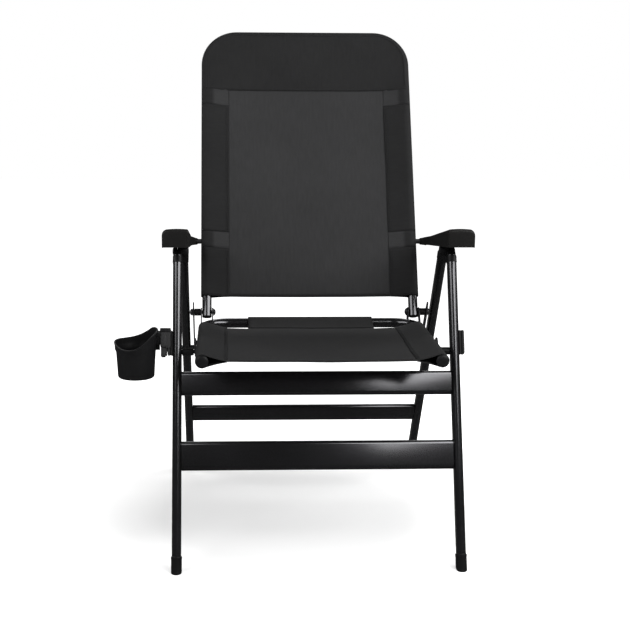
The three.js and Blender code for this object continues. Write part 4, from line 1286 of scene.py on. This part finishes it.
LOOKS = {
    "anodised_tube": anodised_look(),
    "black_steel": steel_look(),
    "black_plastic": moulded_look(
        "black_moulding", (0.0045, 0.0045, 0.0048), (0.0065, 0.0065, 0.0069), 0.42, 1500.0, 0.3),
    "arm_plastic": moulded_look(
        "arm_moulding", (0.0058, 0.0057, 0.0055), (0.0085, 0.0083, 0.0080), 0.40, 1300.0, 0.35),
    "grey_plastic": moulded_look(
        "grey_moulding", (0.017, 0.017, 0.0174), (0.027, 0.027, 0.0276), 0.5, 900.0, 0.4),
    "seat_cloth": cloth_look("seat_mesh_cloth", (0.0175, 0.0175, 0.0180), (0.0155, 0.0155, 0.0159)),
    "back_cloth": cloth_look("back_mesh_cloth", (0.0285, 0.0285, 0.0293), (0.0150, 0.0150, 0.0154)),
    "thread": moulded_look(
        "sewing_thread", (0.015, 0.015, 0.0153), (0.022, 0.022, 0.0224), 0.7, 2500.0, 0.3),
}


# ---------------- making the pieces

SMOOTH_BELOW = radians(32)


def add_piece(name, shape, body, slot_name, look=None):
    mesh = bpy.data.meshes.new(name)
    mesh.from_pydata([tuple(to_row(p)) for p in shape[0]], [], shape[1])
    work = bmesh.new()
    work.from_mesh(mesh)
    bmesh.ops.recalc_face_normals(work, faces=work.faces)
    for face in work.faces:
        face.smooth = True
    for edge in work.edges:
        edge.smooth = len(edge.link_faces) == 2 and edge.calc_face_angle(0.0) < SMOOTH_BELOW
    work.to_mesh(mesh)
    work.free()
    obj = new_object(name, mesh)
    mesh.materials.append(look or LOOKS[slot_name])
    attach(obj, body)
    return obj


def one(node_name, shape):
    obj = add_piece(f"fine_{node_name}", shape, BODY_OF[node_name], SLOT_OF[node_name])
    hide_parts(node_name)
    return obj


def pair(name, shape):
    return [one(f"{name}_right", shape), one(f"{name}_left", mirrored(shape))]


def thicken(obj, thickness, offset):
    modifier = obj.modifiers.new("wall", "SOLIDIFY")
    modifier.thickness = thickness * MM
    modifier.offset = offset
    modifier.use_even_offset = True


build_legs()
build_tubes()
build_hinges()
build_arms()
build_cup_holder()
build_slings()


# ---------------- floor, light and camera

# The floor's glow near the chair and far away, and the metres from its middle over which it changes.
GLOW = (0.14, 1.0)
GLOW_REACH = (0.28, 0.75)


def floor():
    """A pale floor that glows further from the chair, like a lit backdrop."""
    mesh = bpy.data.meshes.new("floor")
    half = 9.0
    corners = [(-half, -half, 0), (half, -half, 0), (half, half, 0), (-half, half, 0)]
    mesh.from_pydata(corners, [], [(0, 1, 2, 3)])
    obj = new_object("floor", mesh)
    look = Look("pale_floor", (0.88, 0.88, 0.88), 0.9)
    look.put("Specular IOR Level", 0.0)
    look.put("Emission Color", (1, 1, 1, 1))
    away = look.node("ShaderNodeVectorMath", {0: look.place()}, operation="LENGTH").outputs["Value"]
    look.put("Emission Strength", look.ranged(away, *GLOW, *GLOW_REACH))
    mesh.materials.append(look.material)
    obj.visible_glossy = False


LIGHT_AIM = Vector((0.0, 0.0, 450.0))


def softbox(name, near, far, low, high, radiance):
    """A long soft light whose ends stand over near and far on the floor, as [X, Y]."""
    middle = Vector(((near[0] + far[0]) / 2, (near[1] + far[1]) / 2, (low + high) / 2))
    data = bpy.data.lights.new(name, "AREA")
    data.shape = "RECTANGLE"
    data.size = dist(near, far) * MM
    data.size_y = (high - low) * MM
    data.energy = radiance * pi * data.size * data.size_y
    obj = new_object(name, data)
    obj.location = to_row(middle)
    obj.rotation_euler = (middle - LIGHT_AIM).to_track_quat("Z", "Y").to_euler()
    obj.visible_camera = False


def world(seen, ambient):
    """A background of one level to the camera and another as a light."""
    made = bpy.data.worlds.new("studio")
    bpy.context.scene.world = made
    made.use_nodes = True
    tree = made.node_tree
    tree.nodes.clear()
    output = tree.nodes.new("ShaderNodeOutputWorld")
    mix = tree.nodes.new("ShaderNodeMixShader")
    rays = tree.nodes.new("ShaderNodeLightPath")
    for i, level in ((1, ambient), (2, seen)):
        background = tree.nodes.new("ShaderNodeBackground")
        background.inputs["Color"].default_value = (level, level, level, 1)
        tree.links.new(background.outputs[0], mix.inputs[i])
    tree.links.new(rays.outputs["Is Camera Ray"], mix.inputs[0])
    tree.links.new(mix.outputs[0], output.inputs[0])


# The camera fitted to the photograph: yaw to the left, pitch down, roll anticlockwise.
CAMERA_AT = Vector((-188.6, -2635.3, 994.1))
CAMERA_YAW = radians(-2.2881)
CAMERA_PITCH = radians(11.0)
CAMERA_ROLL = radians(0.2943)
FOCAL_PIXELS = 1250.0
IMAGE_PIXELS = 630.0
CENTRE_SHIFT_PIXELS = 40.0


def camera():
    data = bpy.data.cameras.new("camera")
    data.sensor_width = 36.0
    data.lens = data.sensor_width * FOCAL_PIXELS / IMAGE_PIXELS
    data.shift_x = CENTRE_SHIFT_PIXELS / IMAGE_PIXELS
    data.clip_end = 50.0
    obj = new_object("camera", data)
    turned_to = Matrix.Rotation(CAMERA_YAW, 4, "Z") @ Matrix.Rotation(pi / 2 - CAMERA_PITCH, 4, "X")
    turned_to @= Matrix.Rotation(CAMERA_ROLL, 4, "Z")
    obj.matrix_world = Matrix.Translation(to_row(CAMERA_AT)) @ turned_to
    bpy.context.scene.camera = obj


floor()
softbox("light_right", (620.0, -2210.0), (2350.0, 450.0), 1190.0, 2350.0, 6.4)
softbox("light_left", (-1250.0, -1800.0), (-2350.0, 450.0), 1290.0, 2350.0, 4.4)
softbox("light_behind", (-1300.0, 2300.0), (1300.0, 2300.0), 1500.0, 2500.0, 2.0)
world(1.0, 0.08)
camera()
bpy.context.scene.view_settings.view_transform = "Standard"
